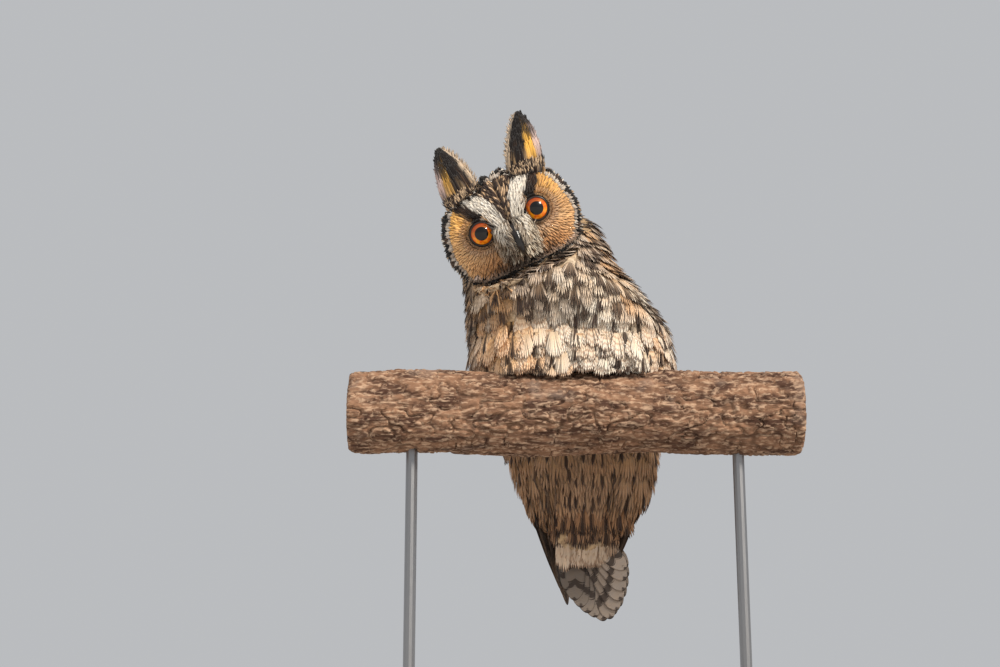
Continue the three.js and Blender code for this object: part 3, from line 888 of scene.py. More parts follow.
SOFT_FEATHER = feather_material("feather_soft", 0.14, 0.85)
STIFF_FEATHER = feather_material("feather_stiff", 0.12, 0.55)
FACE_TUFT = feather_material("tuft_face", 0.1, 0.9)
CLAW_HORN = horn_material("claw_horn", colour(24, 19, 18), colour(52, 40, 34))
BILL_HORN = horn_material("bill_horn", colour(16, 13, 13), colour(38, 30, 28))
LID_SKIN = horn_material("lid_skin", colour(20, 15, 15), colour(44, 32, 28))


# The skin as a piece
def make_skin_piece():
    layers = {"ground": ("FLOAT_COLOR", with_alpha(skin_colour(skin_points)))}
    finish_piece(mesh_object("skin", skin_points, [skin_faces], point_data=layers),
                 skin_material(), FLESH)


make_skin_piece()


MERIDIANS = 23
TURN_STEP = 2 * math.pi / MERIDIANS
TURN_START = 0.04
ROW_STEP = 13.5
UPPER_FROM = 78     # the height from which the breast's feathers are small and in no rows
FRONT_TURN = 1.75   # the breast and belly end at this angle from the front, and the back begins


# Body tracts: rows of feathers round the body, on meridians, lower rows under upper ones
def ring_places(height, turns):
    """Places on the skin at one or more heights, at angles round the body's middle line."""
    outside = 160
    middle = body_middle(np.broadcast_to(np.asarray(height, float), (len(turns),)))
    places = np.full((len(turns), 3), np.nan)
    for i, (centre, turn) in enumerate(zip(middle.tolist(), turns.tolist())):
        out = Vector((math.sin(turn), -math.cos(turn), 0.0))
        place = skin_tree.ray_cast(Vector(centre) + out * outside, -out, outside + 5)[0]
        if place is not None:
            places[i] = place
    return places


def body_flow(points):
    """Down the body, and backwards on the sides and under the tail."""
    height, turn = body_place(points)
    side = np.abs(np.sin(turn))
    inwards = -0.25 * np.sign(np.sin(turn)) * smoothstep(-10, -70, height) * side
    backwards = 0.28 * side * smoothstep(110, 40, height) + 0.5 * smoothstep(-30, -80, height)
    return xyz(inwards, backwards, -1)


def usable(places):
    """Places that exist, off the perch and the feet, and not up on the head."""
    real = np.isfinite(places[:, 0])
    safe = np.where(real[:, None], places, 0)
    off_perch = np.hypot(safe[:, 1], safe[:, 2] - PERCH_Z) > PERCH_CLEAR + 4.0
    return real & off_perch & (head_weight(safe) < 0.25) & (near_foot(safe) < 0.5)


def add_ring(coat, height, turns, length, half_width, looks, lift, blades, rows):
    """One row of the body's feathers. looks gives ground, marking and kind for places."""
    places = ring_places(height, turns)
    places = places[usable(places)]
    if not len(places):
        return
    count = len(places)
    lengths = length * vary(count, 0.1)
    nodes, normals = march(places, body_flow, lengths, jitter(count, 0.1))
    # In folds of the skin a path may double back on itself, and no feather grows there
    straight = np.linalg.norm(nodes[:, -1] - nodes[:, 0], axis=1) > 0.8 * lengths
    nodes, normals, places = nodes[straight], normals[straight], places[straight]
    count = len(places)
    ground, marking, kind = looks(places)
    coat.add_plumes(nodes, normals, half_width * vary(count, 0.08), lift * vary(count, 0.08),
                    ground, marking, kind, body_unwrap(places), blades=blades, rows=rows)


# Where each row starts, how far it bows out, and the shares of the way down at which feathers begin
HANGING = (
    (44, 3.0, (0.5,)), (52, 4.2, (0.62, 0.36)), (58, 5.4, (0.5, 0.22, 0.0)),
)


def add_hanging(coat, turn, streaked):
    """Feathers one under another, from the belly's edge down to the front of the perch's top."""
    for start, out, shares in HANGING:
        for from_share in shares:
            places = ring_places(start + jitter(1, 2.5)[0], np.array([turn + jitter(1, 0.04)[0]]))
            if not np.isfinite(places[0, 0]):
                continue
            _, normal = on_skin(places)
            place = places[0]
            # The lowest tips rest on the bark, a little before its highest line as seen from below
            round_perch = math.radians(rng.uniform(33, 50))
            clear = PERCH_CLEAR + rng.uniform(0.6, 2.0)
            tip = np.array([place[0] + rng.uniform(-4, 4), -clear * math.sin(round_perch),
                            PERCH_Z + clear * math.cos(round_perch)])
            if place[1] > -12:
                tip[1] = place[1] * 0.9
            to_share = min(from_share + 0.52 + rng.uniform(-0.05, 0.05), 1.0)
            t = np.linspace(from_share, to_share, 6)[:, None]
            bulge = (normal[0] * out + np.array([0, -3.0, 0])) * 2.2
            nodes = (place * (1 - t) + tip * t + bulge * t * (1 - t))[None]
            ground, marking, kind = breast_looks(streaked)(places)
            kind[:, 2] = 0.6
            coat.add_plumes(nodes, np.broadcast_to(normal[:, None], nodes.shape), 8.4 if streaked else 7.4,
                            2.6, ground, marking, kind, body_unwrap(places), blades=11, loose=0.5)


def breast_looks(streaked):
    """Looks of the breast and belly: feathers with a dark streak, and plain ones under and between them."""
    def looks(places):
        height, turn = body_place(places)
        count = len(places)
        upper = smoothstep(UPPER_FROM - 14, UPPER_FROM + 8, height + 10 * noise(places, 14, 25) - 5)
        below = smoothstep(24, -4, height)
        pick = noise(places, 15, 21)
        base = blend(colour(251, 238, 218), colour(228, 192, 154), 0.6 * smoothstep(0.35, 0.75, pick))
        mauve = smoothstep(0.25, 0.6, noise(places, 12, 22))
        mauve = mauve * smoothstep(-1.0, -0.4, turn + jitter(count, 0.2))
        base = blend(base, colour(178, 150, 132), 0.6 * upper * mauve)
        orange = 0.7 * smoothstep(0.6, 0.8, noise(places, 18, 23)) + 0.9 * smoothstep(-0.4, -0.7, turn)
        orange = orange * (0.35 + 0.65 * (noise(places, 9, 24) > 0.42))
        base = blend(base, colour(238, 166, 76), np.clip(orange, 0, 0.9) * (1 - below))
        base = blend(base, BROWN * 1.5, 0.6 * smoothstep(1.1, 1.45, np.abs(turn)))
        # Near and below the perch the ground turns buff-brown: partly the belly's own colour, partly painted shade
        # under the perch
        base = blend(base, colour(164, 122, 88), 0.9 * below)
        tip = blend(base, colour(255, 250, 240), 0.4 * (1 - below) * (1 - 0.6 * upper))
        ground = np.stack([blend(base, BUFF, 0.5) * 0.8, tip], axis=1) * vary(count, 0.07)[:, None, None]
        dark = blend(colour(52, 35, 27), colour(66, 48, 40), upper)
        marking = dark * vary(count, 0.25)[:, None]
        if streaked:
            streak = (0.19 + 0.2 * upper) * (1 - 0.75 * below)
            tip_line_and_shadow = 0.35 * (1 - upper)
            bars = 0.35 * (1 - 0.6 * upper) * (1 - below)
        else:
            blotch = (noise(places, 5.0, 61) > 0.57) * (upper > 0.4)
            streak = blotch * rng.uniform(0.35, 0.65, count)
            crescents = 0.5 * (1 - upper) * (rng.random(count) > 0.3) * (1 - 0.7 * below)
            tip_line_and_shadow = 0.6 * (1 - upper) * (1 - 0.6 * below)
            bars = np.maximum(crescents, 0.3 * upper * (1 - blotch))
            marking = blend(RUST * 0.9, marking, np.maximum(upper, blotch))
        return ground, marking, np.stack([streak * vary(count, 0.25), bars, tip_line_and_shadow], axis=1)
    return looks


def back_looks(places):
    """Looks of the back: brown and grey feathers with buff tips, dark streaks and bars."""
    count = len(places)
    pick = noise(places, 12, 31)
    base = blend(colour(120, 92, 70), colour(150, 134, 120), 0.8 * smoothstep(0.35, 0.7, pick))
    tip = blend(base, BUFF, 0.25 + 0.55 * smoothstep(0.4, 0.75, noise(places, 6, 32)))
    ground = np.stack([base * 0.7, tip], axis=1) * vary(count, 0.14)[:, None, None]
    marking = DARK * 0.85 * vary(count, 0.3)[:, None]
    streak = (0.16 + 0.3 * rng.random(count)) * (rng.random(count) > 0.2)
    return ground, marking, xyz(streak, 0.5 + jitter(count, 0.25), 0.25)


def add_belly_rings(belly):
    """Rows from under the tail up to the breast, of streaked and plain feathers by turns."""
    for row, height in enumerate(np.arange(-60.5, UPPER_FROM - 4, ROW_STEP * 0.5)):
        low = float(smoothstep(-15, -40, height))
        streaked = row % 2 == 0
        turns = (np.arange(-20, 20) + (0 if streaked else 0.5)) * TURN_STEP + TURN_START
        turns = turns[np.abs(turns) < FRONT_TURN]
        turns = turns + 0.05 * np.sin(turns * 7) + jitter(len(turns), 0.02)
        add_ring(belly, height + jitter(len(turns), 2.6), turns, 22 + 6 * low, 10.4 if streaked else 8.0 + 2 * low,
                 breast_looks(streaked), lift=6.0, blades=15 if height > 20 else 9, rows=5)


def add_back_rings(back):
    for height in np.arange(-56, 153, 5.6):
        small = float(smoothstep(60, 130, height))
        count = int(34 - 4 * small)
        turns = (np.arange(count) + 0.5 * (rng.random() * 2)) / count * 2 * math.pi - math.pi + jitter(count, 0.06)
        turns = turns[np.abs(turns) >= FRONT_TURN]
        add_ring(back, height + jitter(len(turns), 2.5), turns, 22 - 6 * small, 7.0 - 1.6 * small, back_looks,
                 lift=6.2, blades=8, rows=4)


def upper_breast(places):
    height, turn = body_place(places)
    high = height > UPPER_FROM - 18 + 20 * noise(places, 12, 26)
    return high * (np.abs(turn) < FRONT_TURN + 0.1) * (head_weight(places) < 0.25)


def throat(places):
    weight = head_weight(places)
    return (weight > 0.04) * (weight < 0.85) * ((face_share(places) > 1.03) | (weight < 0.6))


def add_upper_feathers(coat, places, looks, length, half_width, lift, blades, front):
    count = len(places)
    ground, marking, kind = looks(places)
    nodes, normals = march(places, body_flow, length * vary(count, 0.15), jitter(count, 0.16))
    # Feathers that face down or lie across, in the fold under the chin, and those close under the head, lie low
    # and get painted shade
    path = nodes[:, -1] - nodes[:, 0]
    falling = path[:, 2] / np.linalg.norm(path, axis=1)
    shaded_fold = np.maximum(smoothstep(-0.05, -0.5, normals[:, 0, 2]), smoothstep(-0.45, -0.15, falling))
    shaded_fold = np.maximum(shaded_fold, 0.85 * smoothstep(0.0, 0.3, head_weight(places)) * front)
    ground = blend(ground, DARK, 0.75 * np.stack([shaded_fold] * 2, axis=1))
    marking = blend(marking, DARK, 0.5 * shaded_fold)
    coat.add_plumes(nodes, normals, half_width * vary(count, 0.15), lift * (1 - 0.5 * shaded_fold) * vary(count, 0.1),
                    ground, marking, kind, body_unwrap(places), blades=blades)


UPPER_TRACTS = (   # where, and the feathers' spacing, length, half width, lift and number of blades
    (upper_breast, 5.6, 17, 5.8, 6.0, 9), (throat, 4.2, 10, 3.2, 4.4, 5),
)


def make_body_coat():
    breast, belly, back = (Coat(f"coat_{name}") for name in ("breast", "belly", "back"))
    add_belly_rings(belly)
    add_back_rings(back)
    # Higher up the feathers are shorter, closer and in no rows, and smallest up under the head
    for where, space, *size in UPPER_TRACTS:
        places = scatter(space, where, space * 0.8)
        _, turn = body_place(places)
        front = np.abs(turn) < FRONT_TURN
        plain = rng.random(len(places)) < 0.72
        for coat, chosen, looks in ((breast, front & plain, breast_looks(False)),
                                    (breast, front & ~plain, breast_looks(True)), (back, ~front, back_looks)):
            add_upper_feathers(coat, places[chosen], looks, *size, front[chosen])
    for number in range(-5, 6):
        for part, streaked in ((0.25, False), (0.75, False), (0, True)):
            add_hanging(belly, (number + part) * TURN_STEP + TURN_START, streaked)
    breast.make("plumage_breast", SOFT_FEATHER)
    belly.make("plumage_breast", SOFT_FEATHER)
    back.make("plumage_back", SOFT_FEATHER)


make_body_coat()


# Head: short tufts that run back from the bill, and out from each eye on the face
def head_flow(points):
    """Out from the bill over the face, back over the crown, and down the nape."""
    x, y, z = np.moveaxis(to_head(points), -1, 0)
    side = np.where(x >= 0, 1.0, -1.0)
    from_bill = unit(xyz(x, 6, z + 14))
    from_eye = unit(xyz(x - side * 15, 3, z + 3))
    brow = unit(xyz(side * 0.42, 0.3, 1))
    back = unit(xyz(0.25 * side, 1, -0.12))
    down = unit(xyz(0.1 * side, 0.35, -1))
    in_wedge = smoothstep(-6, 3, z) * smoothstep(26, 16, np.abs(x))
    in_wedge = in_wedge * smoothstep(-2, 6, z + 12 - np.abs(x) * 0.5)
    over = smoothstep(30, 52, y) * smoothstep(34, 10, z)
    below = smoothstep(6, -16, z) * smoothstep(10, 26, y)
    flow = blend(from_bill, from_eye, smoothstep(9, 17, np.abs(x)))
    flow = flow + (brow - flow) * in_wedge[..., None]
    flow = blend(flow, back, smoothstep(12, 24, y))
    flow = blend(flow, down, np.maximum(over, below))
    return unit(flow) @ HEAD_TURN.T


def on_eye(side, polar, turn, radius):
    """Places round an eye at an angle from its axis, which turns a little outwards."""
    outwards = math.radians(3) * side
    axis = np.array([math.sin(outwards), -math.cos(outwards), 0])
    right = np.array([math.cos(outwards), math.sin(outwards), 0])
    up = np.array([0.0, 0.0, 1.0])
    polar, turn, radius = np.broadcast_arrays(polar, turn, radius)
    out = (np.sin(polar)[..., None] * (np.cos(turn)[..., None] * right + np.sin(turn)[..., None] * up)
           + np.cos(polar)[..., None] * axis)
    return from_head(np.array([side * EYE_SPREAD, EYE_SETBACK, 0]) + out * radius[..., None])


def eye_clear(points, clear):
    """True for places off the eyes and their lids."""
    local = to_head(points)
    return np.hypot(np.abs(local[..., 0]) - EYE_SPREAD, local[..., 2]) > clear


def head_tufts(coat, places, length, half_width, rise, dark=0.62, splay=0.14, kind=(0, 0, 0), tint=None,
               **shape):
    """Tufts whose colours are the head's own at their places, unless a tint is given."""
    count = len(places)
    nodes, normals = march(places, head_flow, length * vary(count, 0.22), jitter(count, splay), steps=3)
    middle = nodes[:, 2]
    seen = tint(middle) if tint else head_colour(middle + rng.normal(0, 0.35, (count, 3)))
    tone = vary(count, 0.14)[:, None]
    ground = np.stack([seen * dark * tone, seen * tone], axis=1)
    rises = (rise[0], rise[1] * vary(count, 0.25))
    coat.add(nodes, normals, half_width * vary(count, 0.2), rises, ground, seen * 0.35, kind,
             head_unwrap(places), **shape)


# Height z, middle y, half width and half thickness of the bill, in the head's own place
BILL_ROWS = np.array([
    (-25, -17.4, 0.3, 0.3), (-19, -19.4, 2.7, 2.8), (-13, -18.6, 4.0, 4.2), (-7.5, -14, 4.6, 4.6),
    (-5, -4, 4.4, 4.6),
])


def bill_front(x, z):
    """How far forward the bill's surface reaches, in the head's own y."""
    middle, half_width, half_depth = (np.interp(z, BILL_ROWS[:, 0], BILL_ROWS[:, k]) for k in (1, 2, 3))
    return middle - half_depth * np.sqrt(np.clip(1 - (x / half_width) ** 2, 0, 1))


BILL_BRISTLES = (   # side, number, nearest and farthest tip from the bill's middle, and whether on its base
    (1, 190, 2.4, 4.6, False), (-1, 190, 2.4, 4.6, False), (1, 60, 0.6, 3.4, True), (-1, 60, 0.6, 3.4, True),
)


def add_bill_bristles(coat):
    """Fine bristles that grow beside the bill and lie over its base and sides."""
    for side, count, near, far, on_base in BILL_BRISTLES:
        share = rng.random(count)
        end_x = rng.uniform(near, far, count)
        end_z = -5.5 - 4 * share if on_base else -8 - 14 * share
        start_x = end_x + (0.5 if on_base else 1.5 + 3.5 * rng.random(count))
        start_z = end_z + (9 if on_base else 8 + 2 * rng.random(count))
        start = xyz(side * start_x, -2 - 2 * rng.random(count), start_z)
        end = xyz(side * end_x, bill_front(end_x, end_z) - 0.7 - 0.8 * rng.random(count), end_z)
        middle = (start + end) / 2 + xyz(side * (0.8 + rng.random(count)), -4.5, 1)
        local = bow(start, middle, end)
        normal = unit(local - np.array([0, -4.0, -9.0]))
        tone = (0.5 + 0.7 * rng.random(count))[:, None]
        pale = rng.random(count) * (0.5 if on_base else 1.0)
        tips = blend(colour(112, 90, 72), colour(236, 220, 198), pale) * tone
        nodes = from_head(local)
        coat.add_bristles(nodes, normal @ HEAD_TURN.T, 0.42, (0.1, 0.4), two_tone(tips, 0.6),
                          head_unwrap(nodes[:, 0]), tip_width=0.25, rows=6)


def add_moustache(coat):
    """Long bristles that stand out from the face beside the bill and under it, and fill the space there."""
    count = 900
    side = np.where(rng.random(count) > 0.5, 1.0, -1.0)
    x = 1.5 + 13 * rng.random(count) ** 1.3
    z = rng.uniform(-27, 1, count)
    roots, normals = on_skin(from_head(xyz(side * x, -6.0, z)))
    close = smoothstep(13, 3, x + 0.5 * np.clip(-z - 20, 0, 9))
    forward = (2.5 + 9 * close) * (0.6 + 0.5 * rng.random(count))
    local = to_head(roots)
    end = local + xyz(side * (1.0 + 3 * (1 - close)), -forward, -4 - 4 * rng.random(count))
    # None may lie inside the bill
    end[:, 0] = side * np.maximum(np.abs(end[:, 0]), np.where(end[:, 2] > -26, 3.4, 0.5))
    middle = (local + end) / 2 + xyz(side * 0.5, -0.35 * forward, 1.5)
    seen = head_colour(roots) * vary(count, 0.2)[:, None]
    # Pale bristles, more of them on the bird's left as painted light on its lit side
    pale = 0.5 * (rng.random(count) > 0.45) * (0.6 + 0.4 * (side > 0)) * (z > -22)
    seen = blend(seen, colour(232, 216, 192), pale)
    facing = unit(normals + xyz(side, -1, 0) @ HEAD_TURN.T * 0.6)
    coat.add_bristles(from_head(bow(local, middle, end)), facing, 0.6, (0.1, 0.5), two_tone(seen, 0.6),
                      head_unwrap(roots), tip_width=0.2, rows=6)


EYE_RIMS = (   # degrees from the eye's axis at root and tip, and distances from its middle there
    (92, 60, 10.6, 11.2), (84, 55, 10.3, 10.9),
)


def add_eye_rims(coat):
    """Short feathers that close up round each eye, over the outside of its lids."""
    count = 84
    colour_from = 13.5
    t = np.linspace(0, 1, 4)
    for _, side in SIDES:
        middle = from_head(np.array([side * EYE_SPREAD, EYE_SETBACK, 0]))
        for from_polar, to_polar, root, tip in EYE_RIMS:
            turn = (np.arange(count) + rng.random(count)) / count * 2 * math.pi
            polar = np.radians(from_polar + (to_polar - from_polar) * t)
            nodes = on_eye(side, polar, turn[:, None], root + (tip - root) * t)
            disc_x = side * EYE_SPREAD + colour_from * np.cos(turn)
            disc = from_head(xyz(disc_x, 0, colour_from * np.sin(turn)))
            seen = head_colour(disc) * vary(count, 0.15)[:, None]
            ground = np.stack([seen * 0.7, seen * 0.9], axis=1)
            coat.add_bristles(nodes, unit(nodes - middle), 0.75, (0.0, 0.5), ground,
                              head_unwrap(nodes[:, 0]), tip_width=0.4)


def open_face(places):
    return head_weight(places) * (face_share(places) < 0.99) * eye_clear(places, 8.4)


def by_bill(places):
    x, _, z = np.moveaxis(to_head(places), -1, 0)
    return head_weight(places) * (face_share(places) < 0.8) * (np.abs(x) < 13) * (z < 4) * (z > -26)


def make_face_coat():
    face = Coat("coat_face")
    places = scatter(1.3, open_face, 1.08)
    places = places[eye_clear(places, 8.6)]
    near = ~eye_clear(places, 14)
    fine = dict(columns=3, round_tip=1.0, tip_width=0.35, fray=0.0, dark=0.92)
    head_tufts(face, places[near], 3.6, 0.7, (0.0, 1.1), rows=4, **fine)
    head_tufts(face, places[~near], 6.5, 0.9, (0.0, 1.35), rows=5, **fine)
    # Long loose bristles beside the bill
    head_tufts(face, scatter(1.9, by_bill, 1.5), 10, 0.5, (0.3, 4.4), rows=6, columns=3, tip_width=0.2,
               fray=0.0, splay=0.3)
    add_bill_bristles(face)
    add_moustache(face)
    add_eye_rims(face)
    face.make("plumage_face", FACE_TUFT)


# The ruff stands up a little round the face: pale within, then black, then speckled
def pale_ruff(places):
    low = smoothstep(-20, -32, to_head(places)[..., 2])
    return blend(blend(WHITE, GREY, 0.3 + 0.7 * noise(places, 2, 71)), colour(120, 90, 66), 0.8 * low)


def black_ruff(places):
    return blend(BLACK, BROWN, 0.6 * smoothstep(0.5, 0.8, noise(places, 3, 72)))


def speckled_ruff(places):
    return blend(BLACK, WHITE, smoothstep(0.5, 0.6, noise(places, 2.6, 73)))


RUFF_RINGS = (   # share of the way out from the eyes' middle, and the tufts' length, rise, number and tint
    (0.905, 4.0, 2.6, 360, pale_ruff), (0.945, 4.5, 3.6, 340, black_ruff), (0.985, 5.5, 4.3, 320, black_ruff),
    (1.02, 6.5, 4.6, 280, speckled_ruff), (1.05, 8.0, 4.8, 260, None),
)


def behind_ruff(places):
    return head_weight(places) * (face_share(places) >= 1.02)


def make_crown_coat():
    crown = Coat("coat_head")
    for share, length, rise, count, tint in RUFF_RINGS:
        turns = np.linspace(0, 2 * math.pi, count, endpoint=False) + jitter(count, 0.01)
        radius = ruff_radius(turns) * (share + jitter(count, 0.013))
        places, _ = on_skin(from_head(xyz(radius * np.cos(turns), 6.0, radius * np.sin(turns))))
        places = places[head_weight(places) > 0.3]
        head_tufts(crown, places, length, 1.2, (0.2, rise), rows=5, columns=3, round_tip=0.9, tip_width=0.45,
                   fray=0.0, tint=tint)
    head_tufts(crown, scatter(2.9, behind_ruff, 2.2), 11, 2.0, (0.1, 4.3), rows=6, columns=5, round_tip=0.9,
               tip_width=0.5, fray=0.05, kind=(0.3, 0.3, 0.2), dark=0.55)
    crown.make("plumage_face", SOFT_FEATHER)


make_face_coat()
make_crown_coat()


# Ear tufts: long feathers round a lens-shaped core
TUFT_ROWS = np.array([   # middle y, height z, half width and half thickness, in the head's own place
    (17, 24, 16, 7), (16, 33, 17, 7), (15, 43, 15.4, 6), (14.5, 54, 11.6, 4.6), (14, 62.5, 6.5, 3),
    (14, 68.0, 0.6, 0.5),
])


TUFT_TOP = 68
TUFT_CORE = 0.8                                  # the feathers' roots lie this far out in the lens
TUFT_LEAN = {1: (27.5, 0.29), -1: (22.5, 0.03)}  # for each side, x at the root and how far it leans outwards


def tuft_place(side, across_share, z, front):
    """A place and normal on an ear tuft's lens: across_share runs from -1, inner edge, to 1, outer edge."""
    root_x, lean = TUFT_LEAN[side]
    y, half_width, half_depth = (np.interp(z, TUFT_ROWS[:, 1], TUFT_ROWS[:, k]) for k in (0, 2, 3))
    c = np.sqrt(np.maximum(1 - across_share ** 2, 0.0))
    x = side * (root_x + lean * (z - 33)) + side * across_share * half_width * TUFT_CORE
    place = xyz(x, y - front * c * half_depth * TUFT_CORE, z)
    normal = unit(xyz(side * across_share * half_depth * 0.9, -front * c * half_width, 0.2))
    return from_head(place), normal @ HEAD_TURN.T


def tuft_patch(side, share, up, reach=0.4):
    """A feather's patch in the unwrap, where each tuft has its own half from inner to outer edge."""
    return np.stack([0.5 + 0.45 * side * (0.5 + reach * share), up], axis=-1)


def tuft_colour(side, share, z, front):
    """Black in the middle, a pale fringe inside, a bright buff lobe outside, and pale at the outer base."""
    rough = noise(xyz(share * 14, z, front * 9 + side * 40), 3.2, 41)
    base = blend(BLACK, BROWN, smoothstep(0.55, 0.85, rough) * smoothstep(50, 34, z))
    inner = smoothstep(-0.72, -0.92, share + 0.3 * (rough - 0.5))
    base = blend(base, colour(206, 184, 160), inner * smoothstep(TUFT_TOP, 60, z))
    lobe = smoothstep(0.12, 0.3, share + 0.2 * (rough - 0.5))
    lobe = lobe * smoothstep(30, 35, z) * smoothstep(54, 48, z + 8 * share)
    # The lobe on the bird's right is turned away, and painted shade makes it dimmer
    base = blend(base, colour(255, 194, 84), lobe * (1.0 if side > 0 else 0.4))
    pale = smoothstep(0.6, 0.8, share) * smoothstep(46, 39, z - 6 * share)
    base = blend(base, colour(212, 184, 176), pale)
    foot = smoothstep(33, 28, z + 3 * (rough - 0.5))
    mixed = blend(DARK, BUFF, smoothstep(0.42, 0.66, rng.random(share.shape)))
    base = blend(base, mixed, foot)
    # The back of a tuft is mottled like the crown
    rear = blend(blend(DARK, BROWN, rough), BUFF, 0.7 * (rng.random(share.shape) > 0.7))
    return blend(base, rear, np.where(front < 0, 0.85, 0.0))


def add_tuft_fringe(coat, side):
    """Loose barbs that stand out from both edges of an ear tuft."""
    t = np.linspace(0, 1, 4)[None, :, None]
    for edge, count, reach in ((-1.0, 90, 3.4), (1.0, 60, 1.8)):
        z = rng.uniform(30, 64, count)
        share = edge * 0.93 * (1 - 0.1 * rng.random(count))
        front = np.where(rng.random(count) > 0.5, 1.0, -1.0)
        start, normal = tuft_place(side, share, z, front)
        higher, _ = tuft_place(side, share, np.minimum(z + 7, TUFT_TOP), front)
        outwards = np.array([side * edge, 0, 0]) @ HEAD_TURN.T
        bend = outwards * (reach * (0.5 + rng.random(count)))[:, None]
        nodes = start[:, None] + (higher - start)[:, None] * t + bend[:, None] * t ** 2
        seen = tuft_colour(side, np.full(count, edge), z, np.ones(count)) * vary(count, 0.2)[:, None]
        coat.add_bristles(nodes, normal, 0.55, (0.0, 0.3), two_tone(seen, 0.8),
                          tuft_patch(side, share, 0.02 + (z - 15) / 60, 0.47), tip_width=0.2)


def add_tuft_foot(coat, side):
    """Short speckled tufts over the lowest part of an ear tuft, as on the crown."""
    count = 420
    t = np.linspace(0, 1, 4)[None, :, None]
    share = rng.uniform(-1, 1, count)
    z = rng.uniform(20, 28, count) + 2 * (1 - share ** 2)
    front = np.where(rng.random(count) > 0.35, 1.0, -1.0)
    start, normal = tuft_place(side, share, z, front)
    higher, _ = tuft_place(side, share, z + 6, front)
    nodes = start[:, None] + (higher - start)[:, None] * t
    seen = blend(DARK, colour(214, 184, 150), smoothstep(0.45, 0.6, rng.random(count)))
    seen = seen * vary(count, 0.15)[:, None]
    coat.add_bristles(nodes, normal, 0.8, (0.4, 2.6), two_tone(seen, 0.7),
                      tuft_patch(side, share, 0.02 + (z - 15) / 60), tip_width=0.3)


TUFT_LAYERS = (   # height of the roots, and the feathers' length, number and lift
    (23, 22, 24, 1.4), (31, 22, 24, 1.3), (38, 21, 22, 1.2), (44, 21, 17, 1.0), (46, 22.5, 13, 0.8),
    (27, 20, 24, 1.5), (35, 20, 22, 1.3),
)


def add_tuft_layer(coat, side, front, root_z, length, count, lift):
    share = np.clip(np.linspace(-0.97, 0.97, count) + jitter(count, 0.05), -1, 1)
    start = root_z + jitter(count, 1.6)
    fronts = np.full(count, front)
    found = []
    for t in np.linspace(0, 1, 5):
        z = np.minimum(start + length * t, TUFT_TOP)
        found.append(tuft_place(side, share * (1 - 0.06 * t), z, fronts))
    nodes, normals = (np.stack(parts, axis=1) for parts in zip(*found))
    half_width = 1.2 * np.interp(start + length * 0.5, TUFT_ROWS[:, 1], TUFT_ROWS[:, 2]) / 15
    low = tuft_colour(side, share, start + 0.25 * length, fronts)
    high = tuft_colour(side, share, start + 0.8 * length, fronts)
    patch = tuft_patch(side, share, (start - 15) / 50 * 0.45 + 0.25 * (1 - front))
    kind = (0.0, 0.6 if front < 0 else 0.0, 0.0)
    coat.add(nodes, normals, half_width, (0.1, lift), np.stack([low, high], axis=1), BLACK, kind, patch,
             rows=7, columns=3, round_tip=1.0, tip_width=0.3, fray=0.0, wave=0.1)


def make_ear_tufts():
    coat = Coat("ear_feathers")
    for _, side in SIDES:
        add_tuft_foot(coat, side)
        for front in (1.0, -1.0):
            for layer in TUFT_LAYERS:
                add_tuft_layer(coat, side, front, *layer)
        add_tuft_fringe(coat, side)
    coat.make("ear_tuft", SOFT_FEATHER, ["ear_tuft_left", "ear_tuft_right"])


make_ear_tufts()


# Eyes and lids
def grid_polygons(rows, columns):
    """Quads of a grid of points whose rows are closed rings."""
    i, j = np.meshgrid(np.arange(rows - 1), np.arange(columns), indexing="ij")
    a, b = (i * columns + j).ravel(), (i * columns + (j + 1) % columns).ravel()
    return np.stack([a, b, b + columns, a + columns], axis=1)


EYE_AROUND = 64
EYE_TURN = np.arange(EYE_AROUND) / EYE_AROUND * 2 * math.pi
LID_PROFILE = (   # degrees from the eye's axis, and distance from its middle
    (52, 9.95), (53, 10.35), (57, 10.6), (64, 10.5), (80, 10.2), (84, 9.2), (64, 9.2), (52.5, 9.5),
)


def make_eyeball(name, side, glass):
    rings = 40
    polar = np.linspace(0.012, math.pi - 0.012, rings)[:, None]
    # The cornea stands out a little in front
    ball, cornea = (on_eye(side, polar, EYE_TURN, EYE_RADIUS + out) for out in (0, 0.5))
    points = blend(ball, cornea, np.broadcast_to(bell(polar, 0.7), (rings, EYE_AROUND)))
    # The back half counts as far out, so that it has no second pupil
    share = np.sin(polar) * np.where(polar < math.pi / 2, 1, 9)
    data = xyz(share, EYE_TURN / (2 * math.pi), np.sin(polar) * np.sin(EYE_TURN))
    ring = np.arange(EYE_AROUND)[None]
    polygons = [grid_polygons(rings, EYE_AROUND)[:, ::-1], ring, (rings - 1) * EYE_AROUND + ring[:, ::-1]]
    obj = mesh_object(f"eyeball_{name}", points.reshape(-1, 3), polygons,
                      point_data={"vane": ("FLOAT_VECTOR", data.reshape(-1, 3))})
    finish_piece(obj, glass, [f"eye_{name}"])


def make_lids(name, side):
    """A thick dark rim round the ball, lower from above."""
    rows = []
    up = np.sin(EYE_TURN)
    closed = 3.5 * np.clip(up, 0, 1) ** 2 - 1.0 * np.clip(-up, 0, 1)
    for degrees, radius in LID_PROFILE:
        rows.append(on_eye(side, np.radians(degrees - closed * (degrees < 60)), EYE_TURN, radius))
    polygons = grid_polygons(len(rows) + 1, EYE_AROUND) % (len(rows) * EYE_AROUND)
    obj = mesh_object(f"lids_{name}", np.concatenate(rows), [polygons[:, ::-1]])
    finish_piece(obj, LID_SKIN)


def make_eyes():
    glass = eye_material()
    for name, side in SIDES:
        make_eyeball(name, side, glass)
        make_lids(name, side)


make_eyes()


# Wings, folded: places on them are given by a share along from shoulder to tip, and across from front to back
LEAD_TURN = np.array([(-84, 0.85), (-42, 0.95), (0, 1.02), (30, 1.2), (100, 1.25)])
BACK_TURN = np.array([(-84, 2.95), (-20, 2.85), (60, 2.68), (112, 2.55)])


